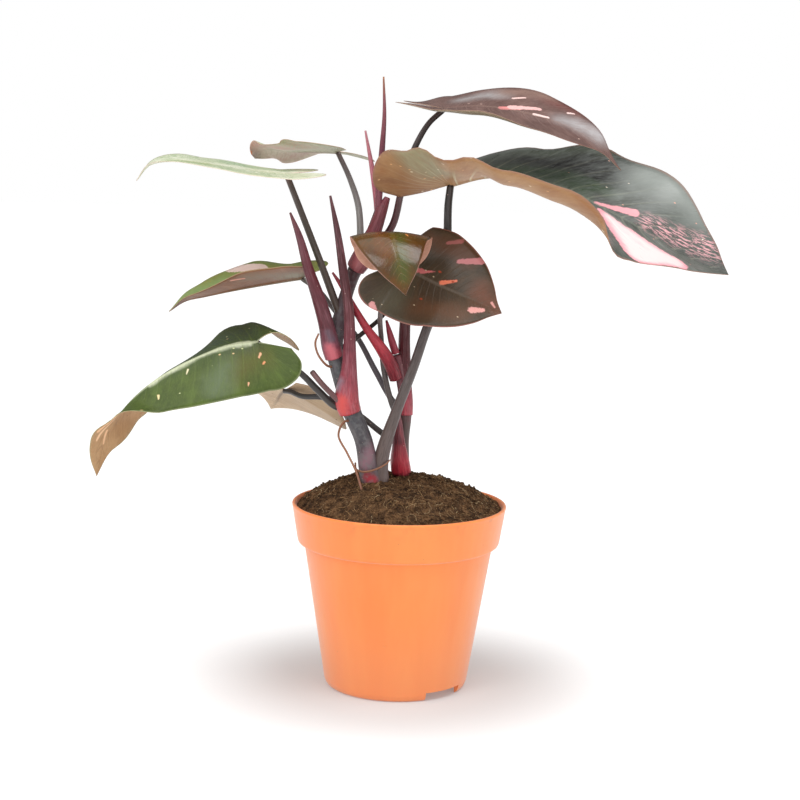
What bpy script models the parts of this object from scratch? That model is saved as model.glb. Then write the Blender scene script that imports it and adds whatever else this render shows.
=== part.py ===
"""A pink princess philodendron standing in its nursery pot.

Two stems grow from one mound of soil. Each leaf is a heart-shaped blade on a round stalk, and
pointed sheaths wrap the stems where leaves came out. Places are in millimetres, with x to the
right, y to the back and z up, measured from the middle of the pot's underside.
"""

import math

import bmesh
import bpy
import numpy as np

MM = 0.001
GAP = 0.3  # clearance between pieces that touch

# The pot, a thin moulded one with a plain rim band.
RIM_RADIUS = 70.0
POT_HEIGHT = 121.0
RIM_BAND = 26.0
BAND_LOWER_RADIUS = 65.8
BODY_TOP_RADIUS = 61.5
BASE_RADIUS = 46.5
WALL = 1.3
BEAD = 1.1
BASE_LIFT = 6.0
MIDDLE_FOOT = 12.0
NOTCH_HEIGHT = 6.0
NOTCH_SPAN = 36.0
NOTCH_ANGLES = (-47.0, 133.0)
DRAIN_RADIUS = 4.0
DRAIN_RING = 31.0
DRAINS = 6
POT_SIDES = 42

# The soil, heaped up round the stems.
SOIL_EDGE = 118.0
SOIL_HEAP = 19.0
SOIL_MIDDLE = (-10.0, 4.0)
SOIL_RINGS = 8

# The leaves.
BLADE = 0.8  # thickness
LOBE_VEINS = 0.36  # share of the side veins that start at the stalk
VEIN_SWEEP = 1.3
STALK_SIDES = 8
STEM_SIDES = 10
ROOT_SIDES = 5
RINGS_PER_PLACE = 2.4  # rings of a rod for each place its path is given at

# A flat blade's edge, from beside the stalk round a lobe to the tip: along the midrib in blade
# lengths, and out from it in half widths.
HEART = [(-0.17, 0.10), (-0.23, 0.32), (-0.19, 0.64), (-0.05, 0.91), (0.16, 1.00),
         (0.38, 0.92), (0.60, 0.70), (0.80, 0.40), (0.92, 0.15), (1.0, 0.0)]
BROAD_HEART = [(-0.17, 0.10), (-0.23, 0.32), (-0.19, 0.64), (-0.05, 0.91), (0.16, 1.00),
               (0.38, 0.97), (0.60, 0.80), (0.80, 0.53), (0.92, 0.28), (0.97, 0.10), (1.0, 0.0)]
LONG_TIPPED = [(-0.17, 0.10), (-0.22, 0.32), (-0.19, 0.64), (-0.05, 0.91), (0.16, 1.00),
               (0.38, 0.92), (0.60, 0.68), (0.78, 0.36), (0.88, 0.12), (0.94, 0.04), (1.0, 0.0)]
SHORT_LOBED = [(-0.03, 0.10), (-0.06, 0.32), (-0.05, 0.64), (0.02, 0.91), (0.18, 1.00),
               (0.38, 0.92), (0.60, 0.70), (0.80, 0.40), (0.92, 0.15), (1.0, 0.0)]
NARROWING = [(-0.17, 0.10), (-0.23, 0.32), (-0.19, 0.64), (-0.05, 0.91), (0.14, 0.98),
             (0.32, 0.78), (0.50, 0.50), (0.70, 0.24), (0.88, 0.08), (1.0, 0.0)]
ROUND_LONG_LOBE = [(-0.17, 0.10), (-0.28, 0.35), (-0.25, 0.70), (-0.08, 0.95), (0.17, 1.02),
                   (0.42, 1.0), (0.66, 0.80), (0.82, 0.50), (0.92, 0.20), (1.0, 0.0)]
ROUND_SHORT_LOBE = [(-0.05, 0.10), (-0.10, 0.35), (-0.09, 0.72), (0.0, 1.0), (0.18, 1.10),
                    (0.42, 1.0), (0.66, 0.76), (0.82, 0.45), (0.92, 0.17), (1.0, 0.0)]
FULL_ENDED = [(-0.17, 0.10), (-0.23, 0.32), (-0.19, 0.64), (-0.05, 0.91), (0.16, 1.00),
              (0.38, 0.97), (0.60, 0.86), (0.78, 0.62), (0.90, 0.30), (0.97, 0.10), (1.0, 0.0)]
NARROW_NEAR = [(-0.15, 0.04), (-0.18, 0.28), (-0.13, 0.62), (-0.02, 0.84), (0.18, 0.90),
               (0.38, 0.80), (0.60, 0.54), (0.80, 0.36), (0.92, 0.15), (1.0, 0.0)]
LONG_LOBED = [(-0.20, 0.10), (-0.27, 0.32), (-0.23, 0.64), (-0.07, 0.91), (0.16, 1.00),
              (0.38, 0.92), (0.60, 0.70), (0.80, 0.40), (0.92, 0.15), (1.0, 0.0)]
BLUNT_SHORT = [(-0.03, 0.10), (-0.05, 0.30), (-0.03, 0.60), (0.04, 0.88), (0.18, 1.00),
               (0.38, 0.95), (0.60, 0.80), (0.80, 0.56), (0.93, 0.32), (1.0, 0.0)]
BLUNT = [(-0.17, 0.10), (-0.23, 0.32), (-0.19, 0.64), (-0.05, 0.91), (0.16, 1.00),
         (0.38, 0.95), (0.60, 0.80), (0.80, 0.52), (0.93, 0.30), (1.0, 0.0)]

# Each leaf: its midrib from stalk to tip, half its width, and for its left and right half, seen
# from above with the tip ahead, the way it leaves the midrib and how far it curls up, in radians
# over a half width, both at stations along the midrib. "back" is the way a lobe runs.
LEAVES = {
    "leaf_big_right": dict(
        colour=(0.10, 0.14, 0.11), veins=22, ribs=5, width=66,
        midrib=[(28, 4, 328), (50, 0, 334), (72, -4, 334), (97, -8, 329), (123, -10, 317),
                (148, -12, 304), (177, -14, 287), (205, -16, 276)],
        left_edge=BROAD_HEART, right_edge=FULL_ENDED,
        left_back=(-0.85, 0.3, 0.05), right_back=(-0.9, 0, -0.38),
        left=[(-0.2, (-0.1, 0.95, -0.25)), (-0.05, (0, 0.98, -0.1)), (0.05, (0, 0.97, 0.15)),
              (0.25, (0, 0.95, 0.28)), (0.5, (0.1, 0.78, 0.6)), (0.75, (0.3, 0.45, 0.8))],
        left_curl=[(0, 0)],
        right=[(-0.2, (-0.35, -0.7, 0.68)), (-0.05, (0, -0.9, 0.42)), (0.1, (0, -0.99, 0.05)),
               (0.22, (0, -0.93, -0.36)), (0.4, (0, -0.8, -0.6)), (0.55, (0, -0.75, -0.65)),
               (0.68, (-0.1, -0.85, -0.45)), (0.85, (-0.1, -0.95, -0.2))],
        right_curl=[(0, 0.2), (0.1, 0.4), (0.22, 0.9), (0.4, 1.3), (0.52, 1.3), (0.66, 0.2),
                    (0.9, -0.1)],
        stalk=[(-10, -10, 122, 5.0), (-11, -9.5, 133, 5.0), (-12.5, -8.5, 145, 4.9),
               (-11, -8, 157, 4.6), (-3, -9, 183, 3.5), (7, -9, 211, 3.2), (16, -8, 239, 3.0),
               (24, -4, 256, 2.9), (27, 0, 274, 2.8), (27, 2, 296, 2.7), (27, 3, 315, 2.5),
               (28, 4, 328, 2.3)]),
    "leaf_top_right": dict(
        colour=(0.18, 0.11, 0.10), veins=18, ribs=4, width=39,
        midrib=[(22, 6, 376), (45, 2, 378), (71, -2, 375), (96, -6, 368), (118, -8, 357),
                (135, -10, 340)],
        left_edge=LONG_TIPPED, right_edge=LONG_TIPPED,
        left_back=(-1, 0, 0.15), right_back=(-1, 0, 0.15),
        left=[(-0.2, (0, 0.98, 0)), (0, (0, 0.97, 0.2)), (0.5, (0.1, 0.87, 0.45)),
              (1, (0.3, 0.6, 0.6))],
        left_curl=[(0, 0)],
        right=[(-0.2, (0, -0.98, -0.1)), (0, (0, -0.96, -0.15)), (0.2, (0, -0.88, -0.45)),
               (0.5, (0, -0.8, -0.6)), (1, (0, -0.85, -0.5))],
        right_curl=[(0, 0.3), (0.2, 0.8), (0.5, 0.9), (1, 0.2)],
        stalk=[(-25, 1, 281, 2.6), (-9, 3, 300, 2.4), (-3, 4, 324, 2.2), (4, 5, 349, 2.0),
               (13, 6, 366, 1.8), (22, 6, 376, 1.8)]),
    "leaf_high_left": dict(
        colour=(0.52, 0.54, 0.40), veins=14, ribs=4, width=40,
        midrib=[(-76, -6, 333), (-99, -10, 335), (-121, -14, 338), (-145, -18, 340),
                (-161, -20, 337), (-169, -22, 327)],
        left_edge=HEART, right_edge=HEART,
        left_back=(0.95, 0, 0.06), right_back=(0.7, 0.3, 0.05),
        left=[(0, (0, -1, -0.05)), (0.6, (0, -1, -0.03)), (1, (0, -1, 0.03))],
        left_curl=[(0, 0)],
        right=[(0, (0, 1, 0.02)), (0.5, (0, 1, 0.06)), (0.8, (0, 1, 0.2))],
        right_curl=[(0, 0)],
        stalk=[(-40, -2, 241, 2.6), (-53, -4, 275, 2.3), (-65, -5, 305, 2.1),
               (-76, -6, 331, 1.9)]),
    "leaf_high_back": dict(
        colour=(0.45, 0.44, 0.33), veins=14, ribs=4, width=36,
        midrib=[(-45, 26, 347), (-57, 42, 347), (-78, 58, 346), (-96, 72, 346),
                (-103, 76, 340)],
        left_edge=BLUNT, right_edge=BLUNT_SHORT,
        left_back=(0.5, -0.6, 0.05), right_back=(0.5, -0.6, 0.05),
        left=[(0, (0, -0.97, 0.08)), (0.6, (-0.2, -1, 0.1)), (1, (-0.1, -0.8, 0.35))],
        left_curl=[(0, 0.1)],
        right=[(0, (0, 0.95, -0.08)), (0.6, (0, 0.95, -0.03)), (1, (0, 0.6, -0.6))],
        right_curl=[(0, -0.1)],
        stalk=[(-29, 2, 274, 2.5), (-29, 10, 294, 2.3), (-31, 18, 313, 2.1), (-37, 23, 330, 1.8),
               (-45, 26, 346, 1.6)]),
    "leaf_middle_left": dict(
        colour=(0.22, 0.22, 0.09), veins=14, ribs=4, width=40,
        midrib=[(-67, 22, 265), (-76, 20, 263.5), (-95, 16, 260), (-112, 13, 256.5),
                (-129, 10, 252.5), (-142, 9, 249), (-152, 8, 242)],
        left_edge=SHORT_LOBED, right_edge=HEART,
        left_back=(0.9, 0.2, -0.1), right_back=(0.95, 0, 0.3),
        left=[(0, (0, -0.96, 0.2)), (0.2, (0, -0.95, 0.24)), (0.45, (0, -0.94, 0.31)),
              (0.8, (0, -0.95, 0.2))],
        left_curl=[(0, 0.1)],
        right=[(0, (0, 0.93, 0.22)), (0.3, (0, 0.93, 0.38)), (1, (0, 0.93, 0.38))],
        right_curl=[(0, -0.1)],
        stalk=[(2, 12, 178, 2.2), (-6, 14, 186, 2.0), (-18, 16, 206, 1.9), (-30, 17, 227, 1.7),
               (-45, 18, 244, 1.6), (-55, 20, 256, 1.6), (-66, 22, 263.5, 1.6)]),
    "leaf_low_left": dict(
        colour=(0.13, 0.19, 0.05), veins=18, ribs=4, width=40,
        midrib=[(-93, -10, 226), (-113, -16, 223), (-145, -24, 209), (-165, -30, 195),
                (-179, -34, 179), (-189, -36, 161), (-192, -36, 141)],
        left_edge=NARROW_NEAR, right_edge=LONG_LOBED,
        left_back=(0.95, -0.1, -0.1), right_back=(0.75, 0.08, 0.65), right_bend=(0, 0, -430),
        left=[(0, (0, -0.55, -0.82)), (0.55, (0, -0.6, -0.78)), (0.72, (-0.2, -0.8, -0.2)),
              (0.85, (-0.6, -0.8, -0.1)), (1, (-0.8, -0.4, -0.3))],
        left_curl=[(0, -0.2), (0.7, 0)],
        right=[(-0.2, (0.2, 0.9, 0.05)), (0, (0, 0.93, 0.38)), (0.4, (0, 0.95, 0.05)),
               (0.65, (0.2, 0.9, -0.3)), (0.85, (0.6, 0.7, -0.3))],
        right_curl=[(0, -0.4)],
        stalk=[(-33, -5, 184, 2.4), (-42, -6.5, 184.5, 2.4), (-54, -8, 195, 2.3),
               (-64, -9, 205, 2.1), (-75, -8, 212.5, 1.9), (-86, -7.5, 219, 1.8),
               (-93, -10, 225, 1.8)]),
    "leaf_low_back": dict(
        colour=(0.46, 0.32, 0.22), veins=14, ribs=4, width=50,
        midrib=[(-77, 20, 191), (-81, 40, 185), (-85, 60, 177), (-90, 76, 169)],
        left_edge=NARROWING, right_edge=NARROWING,
        left_back=(-0.3, -0.6, 0.7), right_back=(0.3, -0.6, 0.7),
        left=[(0, (-0.85, 0, 0.3))],
        left_curl=[(0, -0.3)],
        right=[(0, (0.88, 0, -0.4))],
        right_curl=[(0, -0.2)],
        stalk=[(1, 11, 156, 2.2), (-14, 11, 166, 2.0), (-25, 9, 175, 1.9), (-37, 8, 183, 1.9),
               (-51, 8, 188, 1.9), (-65, 11, 188, 1.8), (-73, 16, 190, 1.7),
               (-77, 20, 191, 1.6)]),
    "leaf_folded_front": dict(
        colour=(0.26, 0.13, 0.03), veins=14, ribs=4, width=26,
        midrib=[(-8, -22, 291), (-9, -32, 299), (-8, -48, 297), (-4, -60, 283), (1, -66, 263)],
        left_edge=HEART, right_edge=HEART,
        left_back=(0, 0, -1), right_back=(0, 0, -1),
        left=[(0, (1, 0.1, 0)), (1, (1, 0, 0))],
        left_curl=[(0, -0.3)],
        right=[(0, (-1, 0.1, 0)), (1, (-1, 0, 0))],
        right_curl=[(0, -0.3)],
        stalk=[(2, 8, 171, 2.2), (-5, 7, 182, 2.0), (-12, 9, 207, 1.8), (-14, 7, 227, 1.7),
               (-15, 0, 244, 1.6), (-12, -6, 264, 1.5), (-11, -9, 279, 1.5),
               (-9, -15, 286, 1.5), (-8, -22, 290, 1.4)]),
    "leaf_round": dict(
        colour=(0.09, 0.06, 0.045), veins=18, ribs=5, width=33,
        midrib=[(0, -16, 276), (20, -26, 267), (41, -36, 259), (61, -42, 251)],
        left_edge=ROUND_SHORT_LOBE, right_edge=ROUND_LONG_LOBE,
        left_back=(-0.6, 0.1, -0.15), right_back=(-0.97, 0.1, 0.15),
        left=[(-0.2, (0, 0.45, 0.85)), (0.1, (0.1, 0.42, 0.86)), (0.4, (0.45, 0.2, 0.88))],
        left_curl=[(0, -0.2)],
        right=[(0, (-0.35, -0.3, -0.9)), (0.5, (-0.2, -0.65, -0.7))],
        right_curl=[(0, 0)],
        stalk=[(-41, -2, 221, 2.0), (-34, 3, 225, 1.7), (-25, 6, 232, 1.5), (-15, 5, 241, 1.4),
               (-5, -6, 257, 1.4), (0, -15, 275, 1.4)]),
}

# Round pieces: each a smooth path with the radius there as the fourth number.
STEM_LEFT = [(-15, -10, 98, 7.5), (-16, -10, 124, 7.5), (-20, -9, 144, 6.6), (-24, -7, 163, 5.8),
             (-32, -5, 181, 5.9), (-37, -4, 195, 5.4), (-42, -3, 211, 5.0), (-44, -2, 221, 5.4),
             (-43, -2, 232, 5.2), (-40, -1, 243, 5.0), (-38, 0, 253, 4.4), (-35, 1, 263, 4.2),
             (-31, 1, 274, 4.6), (-26, 1, 284, 4.6), (-21, 1, 297, 4.0), (-17, 1, 310, 3.2)]
STEM_RIGHT = [(0, 8, 94, 5.2), (0, 8, 121, 5.2), (1, 8, 141, 5.2), (2, 8, 161, 3.6),
              (3, 8, 180, 3.7), (1, 8, 193, 3.5), (-1, 8, 204, 3.5), (-4, 7, 217, 3.2)]
ROOTS = {
    "root_to_soil": [(-32, -8, 176, 0.8), (-37, -12, 175, 0.8), (-40, -14, 167, 0.7),
                     (-34, -18, 156, 0.7), (-28, -22, 145, 0.7), (-24, -28, 134, 0.7)],
    "root_curled": [(-43, -4, 210, 0.8), (-48, -8, 211, 0.8), (-54, -9, 218, 0.7),
                    (-56, -10, 226, 0.7), (-54, -10, 232, 0.6)],
}
SHEATHS = {
    "sheath_left": [(-44, -3, 217, 6.4), (-46, -5, 223, 6.2), (-49, -9, 237, 5.0),
                    (-54, -13, 254, 4.2), (-61, -15, 274, 3.2), (-67, -15, 294, 2.2),
                    (-73, -15, 309, 0.7)],
    "sheath_middle": [(-33, -6, 181, 7.4), (-35, -7, 188, 7.9), (-35, -9, 196, 7.2),
                      (-34, -11, 209, 5.0), (-34, -12, 228, 3.7), (-35, -12, 248, 3.2),
                      (-39, -12, 273, 2.7), (-43, -12, 297, 2.0), (-48, -12, 320, 0.7)],
    "sheath_right": [(-4, 7, 202, 4.4), (-7, 4, 210, 4.5), (-13, -2, 221, 3.9),
                     (-23, -6, 235, 2.7), (-32, -6, 249, 2.2), (-39, -6, 261, 1.7),
                     (-46, -6, 271, 0.7)],
    "sheath_upper": [(-31, -1, 274, 6.3), (-28, -3, 279, 6.6), (-24, -4, 288, 5.6),
                     (-19, -4, 300, 4.2), (-15, -2, 312, 3.3), (-12, 0, 319, 1.8)],
    "sheath_top": [(-18, 3, 304, 1.7), (-19, 5, 317, 1.9), (-22, 5, 336, 1.6),
                   (-27, 5, 361, 0.6)],
    "new_leaf_spear": [(-18, -1, 306, 2.0), (-17, -1, 327, 2.2), (-16, -1, 349, 1.8),
                       (-15, -1, 371, 1.2), (-16, -1, 395, 0.5)],
    "sheath_upright": [(3, 8, 178, 4.7), (3, 8, 186, 4.6), (2, 9, 201, 4.0), (1, 9, 224, 3.7),
                       (1, 9, 246, 3.0), (-1, 9, 266, 0.8)],
    "sheath_small": [(-4.5, 6.5, 218.5, 2.6), (-7, 5, 226, 2.3), (-9, 4, 233, 1.7),
                     (-11, 4, 240, 0.7)],
    "sheath_low": [(1, 7, 140, 6.6), (0, 5, 147, 6.2), (-1, 2, 159, 4.2), (-2, 1, 172, 3.0),
                   (-3, 0, 185, 1.2)],
    "cut_stalk": [(-32, -6, 180, 1.9), (-42, -11, 190.5, 1.9), (-51, -12, 199.5, 1.8),
                  (-58, -13, 208, 1.8)],
}
# What each piece is hollowed out by, where it wraps or meets it.
HOLLOWED_BY = {
    "sheath_left": ["stem_left"],
    "sheath_middle": ["stem_left"],
    "sheath_upright": ["stem_right"],
    "sheath_right": ["stem_right", "sheath_upright"],
    "sheath_upper": ["stem_left", "new_leaf_spear"],
    "sheath_top": ["stem_left"],
    "new_leaf_spear": ["stem_left"],
    "sheath_small": ["stem_right", "sheath_upright"],
    "sheath_low": ["stem_right", "sheath_upright", "leaf_folded_front", "leaf_low_back"],
    "cut_stalk": ["stem_left", "sheath_middle"],
    "leaf_big_right": ["stem_left"],
    "leaf_top_right": ["stem_left", "sheath_upper"],
    "leaf_high_left": ["stem_left"],
    "leaf_high_back": ["stem_left", "sheath_upper"],
    "leaf_middle_left": ["stem_right", "sheath_upright"],
    "leaf_low_left": ["stem_left", "sheath_middle"],
    "leaf_low_back": ["stem_right"],
    "leaf_folded_front": ["stem_right", "sheath_upright"],
    "leaf_round": ["stem_left", "sheath_left"],
}

POT_COLOUR = (0.93, 0.35, 0.12)
SOIL_COLOUR = (0.045, 0.028, 0.016)
STEM_COLOUR = (0.13, 0.10, 0.11)
SHEATH_COLOUR = (0.32, 0.06, 0.08)
CUT_STALK_COLOUR = (0.20, 0.10, 0.10)


def clear_scene():
    for thing in list(bpy.data.objects):
        bpy.data.objects.remove(thing, do_unlink=True)


def plain_material(name, colour, roughness):
    material = bpy.data.materials.new(name)
    material.use_nodes = True
    shader = material.node_tree.nodes["Principled BSDF"]
    shader.inputs["Base Color"].default_value = (*colour, 1.0)
    shader.inputs["Roughness"].default_value = roughness
    shader.inputs["Metallic"].default_value = 0.0
    return material


def add_object(name, points, faces):
    """An object of these points, in millimetres, with its faces turned outwards."""
    mesh = bpy.data.meshes.new(name)
    mesh.from_pydata([tuple(float(v) * MM for v in p) for p in points], [], faces)
    shape = bmesh.new()
    shape.from_mesh(mesh)
    if shape.calc_volume(signed=True) < 0:
        bmesh.ops.reverse_faces(shape, faces=shape.faces)
    shape.to_mesh(mesh)
    shape.free()
    thing = bpy.data.objects.new(name, mesh)
    bpy.context.scene.collection.objects.link(thing)
    return thing


def finish(thing, colour, roughness):
    thing.data.materials.clear()
    thing.data.materials.append(plain_material(thing.name, colour, roughness))
    thing.data.shade_smooth()
    thing.data.set_sharp_from_angle(angle=math.radians(40))


def combine(thing, others, operation):
    """Cuts the others out of a thing, or joins them to it, and removes them."""
    for other in others:
        change = thing.modifiers.new("combine", "BOOLEAN")
        change.operation = operation
        change.solver = "EXACT"
        change.object = other
        bpy.context.view_layer.update()
        seen = thing.evaluated_get(bpy.context.evaluated_depsgraph_get())
        mesh = bpy.data.meshes.new_from_object(seen)
        thing.modifiers.clear()
        thing.data = mesh
        bpy.data.objects.remove(other, do_unlink=True)


def smooth_curve(points, places):
    """Points of a smooth curve through the given ones, at places from 0 to 1 along it."""
    given = np.asarray(points, float)
    steps = np.sqrt(np.linalg.norm(np.diff(given, axis=0), axis=1))
    knots = np.concatenate([[0], np.cumsum(steps)])
    knots /= knots[-1]
    rises = np.diff(given, axis=0) / np.diff(knots)[:, None]
    widths = np.diff(knots)
    slopes = np.empty_like(given)
    slopes[0] = rises[0]
    slopes[-1] = rises[-1]
    for i in range(1, len(given) - 1):
        slopes[i] = rises[i - 1] * widths[i] + rises[i] * widths[i - 1]
        slopes[i] /= widths[i] + widths[i - 1]
    places = np.clip(places, 0, 1)
    i = np.clip(np.searchsorted(knots, places, side="right") - 1, 0, len(given) - 2)
    w = ((places - knots[i]) / widths[i])[..., None]
    span = widths[i][..., None]
    return ((2 * w**3 - 3 * w**2 + 1) * given[i] + (w**3 - 2 * w**2 + w) * span * slopes[i]
            + (3 * w**2 - 2 * w**3) * given[i + 1] + (w**3 - w**2) * span * slopes[i + 1])


def unit(vectors):
    lengths = np.linalg.norm(vectors, axis=-1, keepdims=True)
    return vectors / np.maximum(lengths, 1e-9)


def tube(name, path, sides, swell=0.0):
    """A closed round rod along a path of places with radii; swell makes it thicker all over."""
    rings = round(RINGS_PER_PLACE * len(path)) if len(path) > 2 else 2
    rows = smooth_curve(path, np.linspace(0, 1, rings))
    places, radii = rows[:, :3], rows[:, 3] + swell
    ways = unit(np.gradient(places, axis=0))
    places[0] -= ways[0] * swell
    places[-1] += ways[-1] * swell
    across = unit(np.cross(ways[0], (0.31, 0.95, 0.07)))
    points = []
    for place, way, radius in zip(places, ways, radii):
        across = unit(across - way * np.dot(across, way))
        other = np.cross(way, across)
        for k in range(sides):
            turn = 2 * math.pi * k / sides
            points.append(place + radius * (math.cos(turn) * across + math.sin(turn) * other))
    faces = [tuple(range(sides)), tuple(reversed(range(len(points) - sides, len(points))))]
    for ring in range(rings - 1):
        for k in range(sides):
            a = ring * sides + k
            b = ring * sides + (k + 1) % sides
            faces.append((a, a + sides, b + sides, b))
    return add_object(name, points, faces)


def turned(name, outline, sides):
    """A solid turned round z from a closed outline of (radius, z); radius 0 is a point."""
    rings = []
    points = []
    for radius, z in outline:
        if radius == 0:
            rings.append([len(points)] * sides)
            points.append((0, 0, z))
            continue
        rings.append(list(range(len(points), len(points) + sides)))
        for k in range(sides):
            turn = 2 * math.pi * k / sides
            points.append((radius * math.cos(turn), radius * math.sin(turn), z))
    faces = []
    for i, ring in enumerate(rings):
        after = rings[(i + 1) % len(rings)]
        for k in range(sides):
            corners = (ring[k], ring[(k + 1) % sides], after[(k + 1) % sides], after[k])
            corners = tuple(dict.fromkeys(corners))
            if len(corners) > 2:
                faces.append(corners)
    return add_object(name, points, faces)


def pot_radius(z):
    """Outer radius of the pot's tapered body at a height."""
    return BASE_RADIUS + (BODY_TOP_RADIUS - BASE_RADIUS) * z / (POT_HEIGHT - RIM_BAND)


def pot_inside():
    """The inside of the pot from the middle of its floor to the lip."""
    floor = BASE_LIFT + WALL
    step = POT_HEIGHT - RIM_BAND
    return [(0, WALL), (MIDDLE_FOOT - WALL, WALL), (MIDDLE_FOOT + WALL, floor),
            (pot_radius(floor) - WALL - 2, floor), (pot_radius(floor + 2) - WALL, floor + 2),
            (BODY_TOP_RADIUS - WALL, step), (BAND_LOWER_RADIUS - WALL, step + 2.5),
            (RIM_RADIUS - 2 * WALL, POT_HEIGHT - 1.5), (RIM_RADIUS - WALL - 0.6, POT_HEIGHT)]


def pot_outside():
    """The outside of the pot from the lip down to the middle foot."""
    step = POT_HEIGHT - RIM_BAND
    foot = BASE_RADIUS - WALL - 1.2
    return [(RIM_RADIUS - 0.5, POT_HEIGHT), (RIM_RADIUS, POT_HEIGHT - BEAD),
            (RIM_RADIUS - 0.5, POT_HEIGHT - 2.4 * BEAD), (BAND_LOWER_RADIUS + 0.4, step + 3),
            (BAND_LOWER_RADIUS, step + 1), (BAND_LOWER_RADIUS - 1, step),
            (BODY_TOP_RADIUS, step - 1), (pot_radius(4), 4), (pot_radius(1.2) - 0.6, 1.2),
            (BASE_RADIUS - 2, 0), (foot, 0), (foot, BASE_LIFT), (MIDDLE_FOOT + 2, BASE_LIFT),
            (MIDDLE_FOOT, 0), (0, 0)]


def notch_cutter(middle):
    """A block that opens the foot ring over the notch's span."""
    inner, outer = BASE_RADIUS - 6, BASE_RADIUS + 6
    turns = [math.radians(middle + NOTCH_SPAN * (k / 6 - 0.5)) for k in range(7)]
    points = []
    for z in (-3.0, NOTCH_HEIGHT - 0.4):
        for turn in turns:
            for radius in (inner, outer):
                points.append((radius * math.cos(turn), radius * math.sin(turn), z))
    count = 2 * len(turns)
    faces = [(0, 1, count + 1, count), (count - 2, 2 * count - 2, 2 * count - 1, count - 1)]
    for k in range(0, count - 2, 2):
        faces += [(k, k + 2, k + 3, k + 1),
                  (count + k, count + k + 1, count + k + 3, count + k + 2),
                  (k, count + k, count + k + 2, k + 2),
                  (k + 1, k + 3, count + k + 3, count + k + 1)]
    return add_object("notch", points, faces)


def make_pot():
    pot = turned("pot", pot_inside() + pot_outside(), POT_SIDES)
    cutters = [notch_cutter(angle) for angle in NOTCH_ANGLES]
    for k in range(DRAINS):
        turn = 2 * math.pi * (k + 0.5) / DRAINS
        x, y = DRAIN_RING * math.cos(turn), DRAIN_RING * math.sin(turn)
        path = [(x, y, BASE_LIFT - 3, DRAIN_RADIUS), (x, y, BASE_LIFT + 5, DRAIN_RADIUS)]
        cutters.append(tube("drain", path, 12))
    combine(pot, cutters, "DIFFERENCE")
    finish(pot, POT_COLOUR, 0.45)


def soil_height(x, y):
    """Height of the soil: a low heap round the stems with lumps and hollows."""
    r = min(1.0, math.hypot(x, y) / (RIM_RADIUS - 3))
    off = math.hypot(x - SOIL_MIDDLE[0], y - SOIL_MIDDLE[1]) / RIM_RADIUS
    heap = SOIL_HEAP * (1 - r**4) * math.exp(-0.4 * off**2)
    lumps = math.sin(x / 7 + 1.3) * math.cos(y / 8.5) + 0.7 * math.sin((x - y) / 5.1)
    return SOIL_EDGE + heap + 0.9 * (1 - r**4) * lumps


def make_soil():
    inside = [(max(0.0, r - GAP), z + GAP) for r, z in pot_inside()[:-2]]
    edge = RIM_RADIUS - 2 * WALL - 0.8
    inside.append((edge, SOIL_EDGE - 1.0))
    outline = inside + [(edge * k / SOIL_RINGS, SOIL_EDGE) for k in range(SOIL_RINGS, 0, -1)]
    outline.append((0, SOIL_EDGE))
    soil = turned("soil", outline, POT_SIDES)
    for vertex in soil.data.vertices:
        x, y, z = (v / MM for v in vertex.co)
        if z > SOIL_EDGE - 0.5:
            vertex.co.z = soil_height(x, y) * MM
    stalk = LEAVES["leaf_big_right"]["stalk"]
    holes = [tube("hole", STEM_LEFT, STEM_SIDES, GAP), tube("hole", STEM_RIGHT, STEM_SIDES, GAP),
             tube("hole", stalk, STALK_SIDES, GAP),
             tube("hole", ROOTS["root_to_soil"], ROOT_SIDES, GAP)]
    combine(soil, holes, "DIFFERENCE")
    finish(soil, SOIL_COLOUR, 0.95)


def station_values(table, places):
    """Values of a table of (station, value) rows at places along the midrib."""
    stations = np.array([row[0] for row in table], float)
    values = np.array([np.atleast_1d(row[1]) for row in table], float)
    if len(table) == 1:
        return np.broadcast_to(values[0], places.shape + values[0].shape).copy()
    i = np.clip(np.searchsorted(stations, places, side="right") - 1, 0, len(table) - 2)
    w = np.clip((places - stations[i]) / (stations[i + 1] - stations[i]), 0, 1)
    if len(table) > 2:
        w = w * w * (3 - 2 * w)
    return values[i] * (1 - w[..., None]) + values[i + 1] * w[..., None]


def along_midrib(leaf, places, back, bend):
    """Points and forward ways along a leaf's midrib, and behind it along a bent lobe."""
    line = smooth_curve(leaf["midrib"], np.linspace(0, 1, 401))
    steps = np.linalg.norm(np.diff(line, axis=0), axis=1)
    reach = np.concatenate([[0], np.cumsum(steps)])
    ways = unit(np.gradient(line, axis=0))
    ahead = np.clip(places, 0, 1) * reach[-1]
    points = np.stack([np.interp(ahead, reach, line[:, k]) for k in range(3)], -1)
    forward = unit(np.stack([np.interp(ahead, reach, ways[:, k]) for k in range(3)], -1))
    behind = np.minimum(places, 0)[..., None]
    return points - behind * reach[-1] * back + behind**2 * bend, forward


def blade_points(leaf, side, along, out):
    """Points of a half blade at its flat places: along the midrib, and out from it."""
    back = unit(np.asarray(leaf[side + "_back"], float))
    bend = np.asarray(leaf.get(side + "_bend", (0, 0, 0)), float)
    points, forward = along_midrib(leaf, along, back, bend)
    way = unit(station_values(leaf[side], along))
    way = unit(way - (way * forward).sum(-1, keepdims=True) * forward)
    upper = np.cross(forward, way) * (1 if side == "left" else -1)
    curl = station_values(leaf[side + "_curl"], along)[..., 0]
    curl = np.where(np.abs(curl) < 1e-3, 1e-3, curl)
    level = (np.sin(curl * out) / curl)[..., None]
    raised = ((1 - np.cos(curl * out)) / curl)[..., None]
    return points + leaf["width"] * (way * level + upper * raised)


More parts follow.
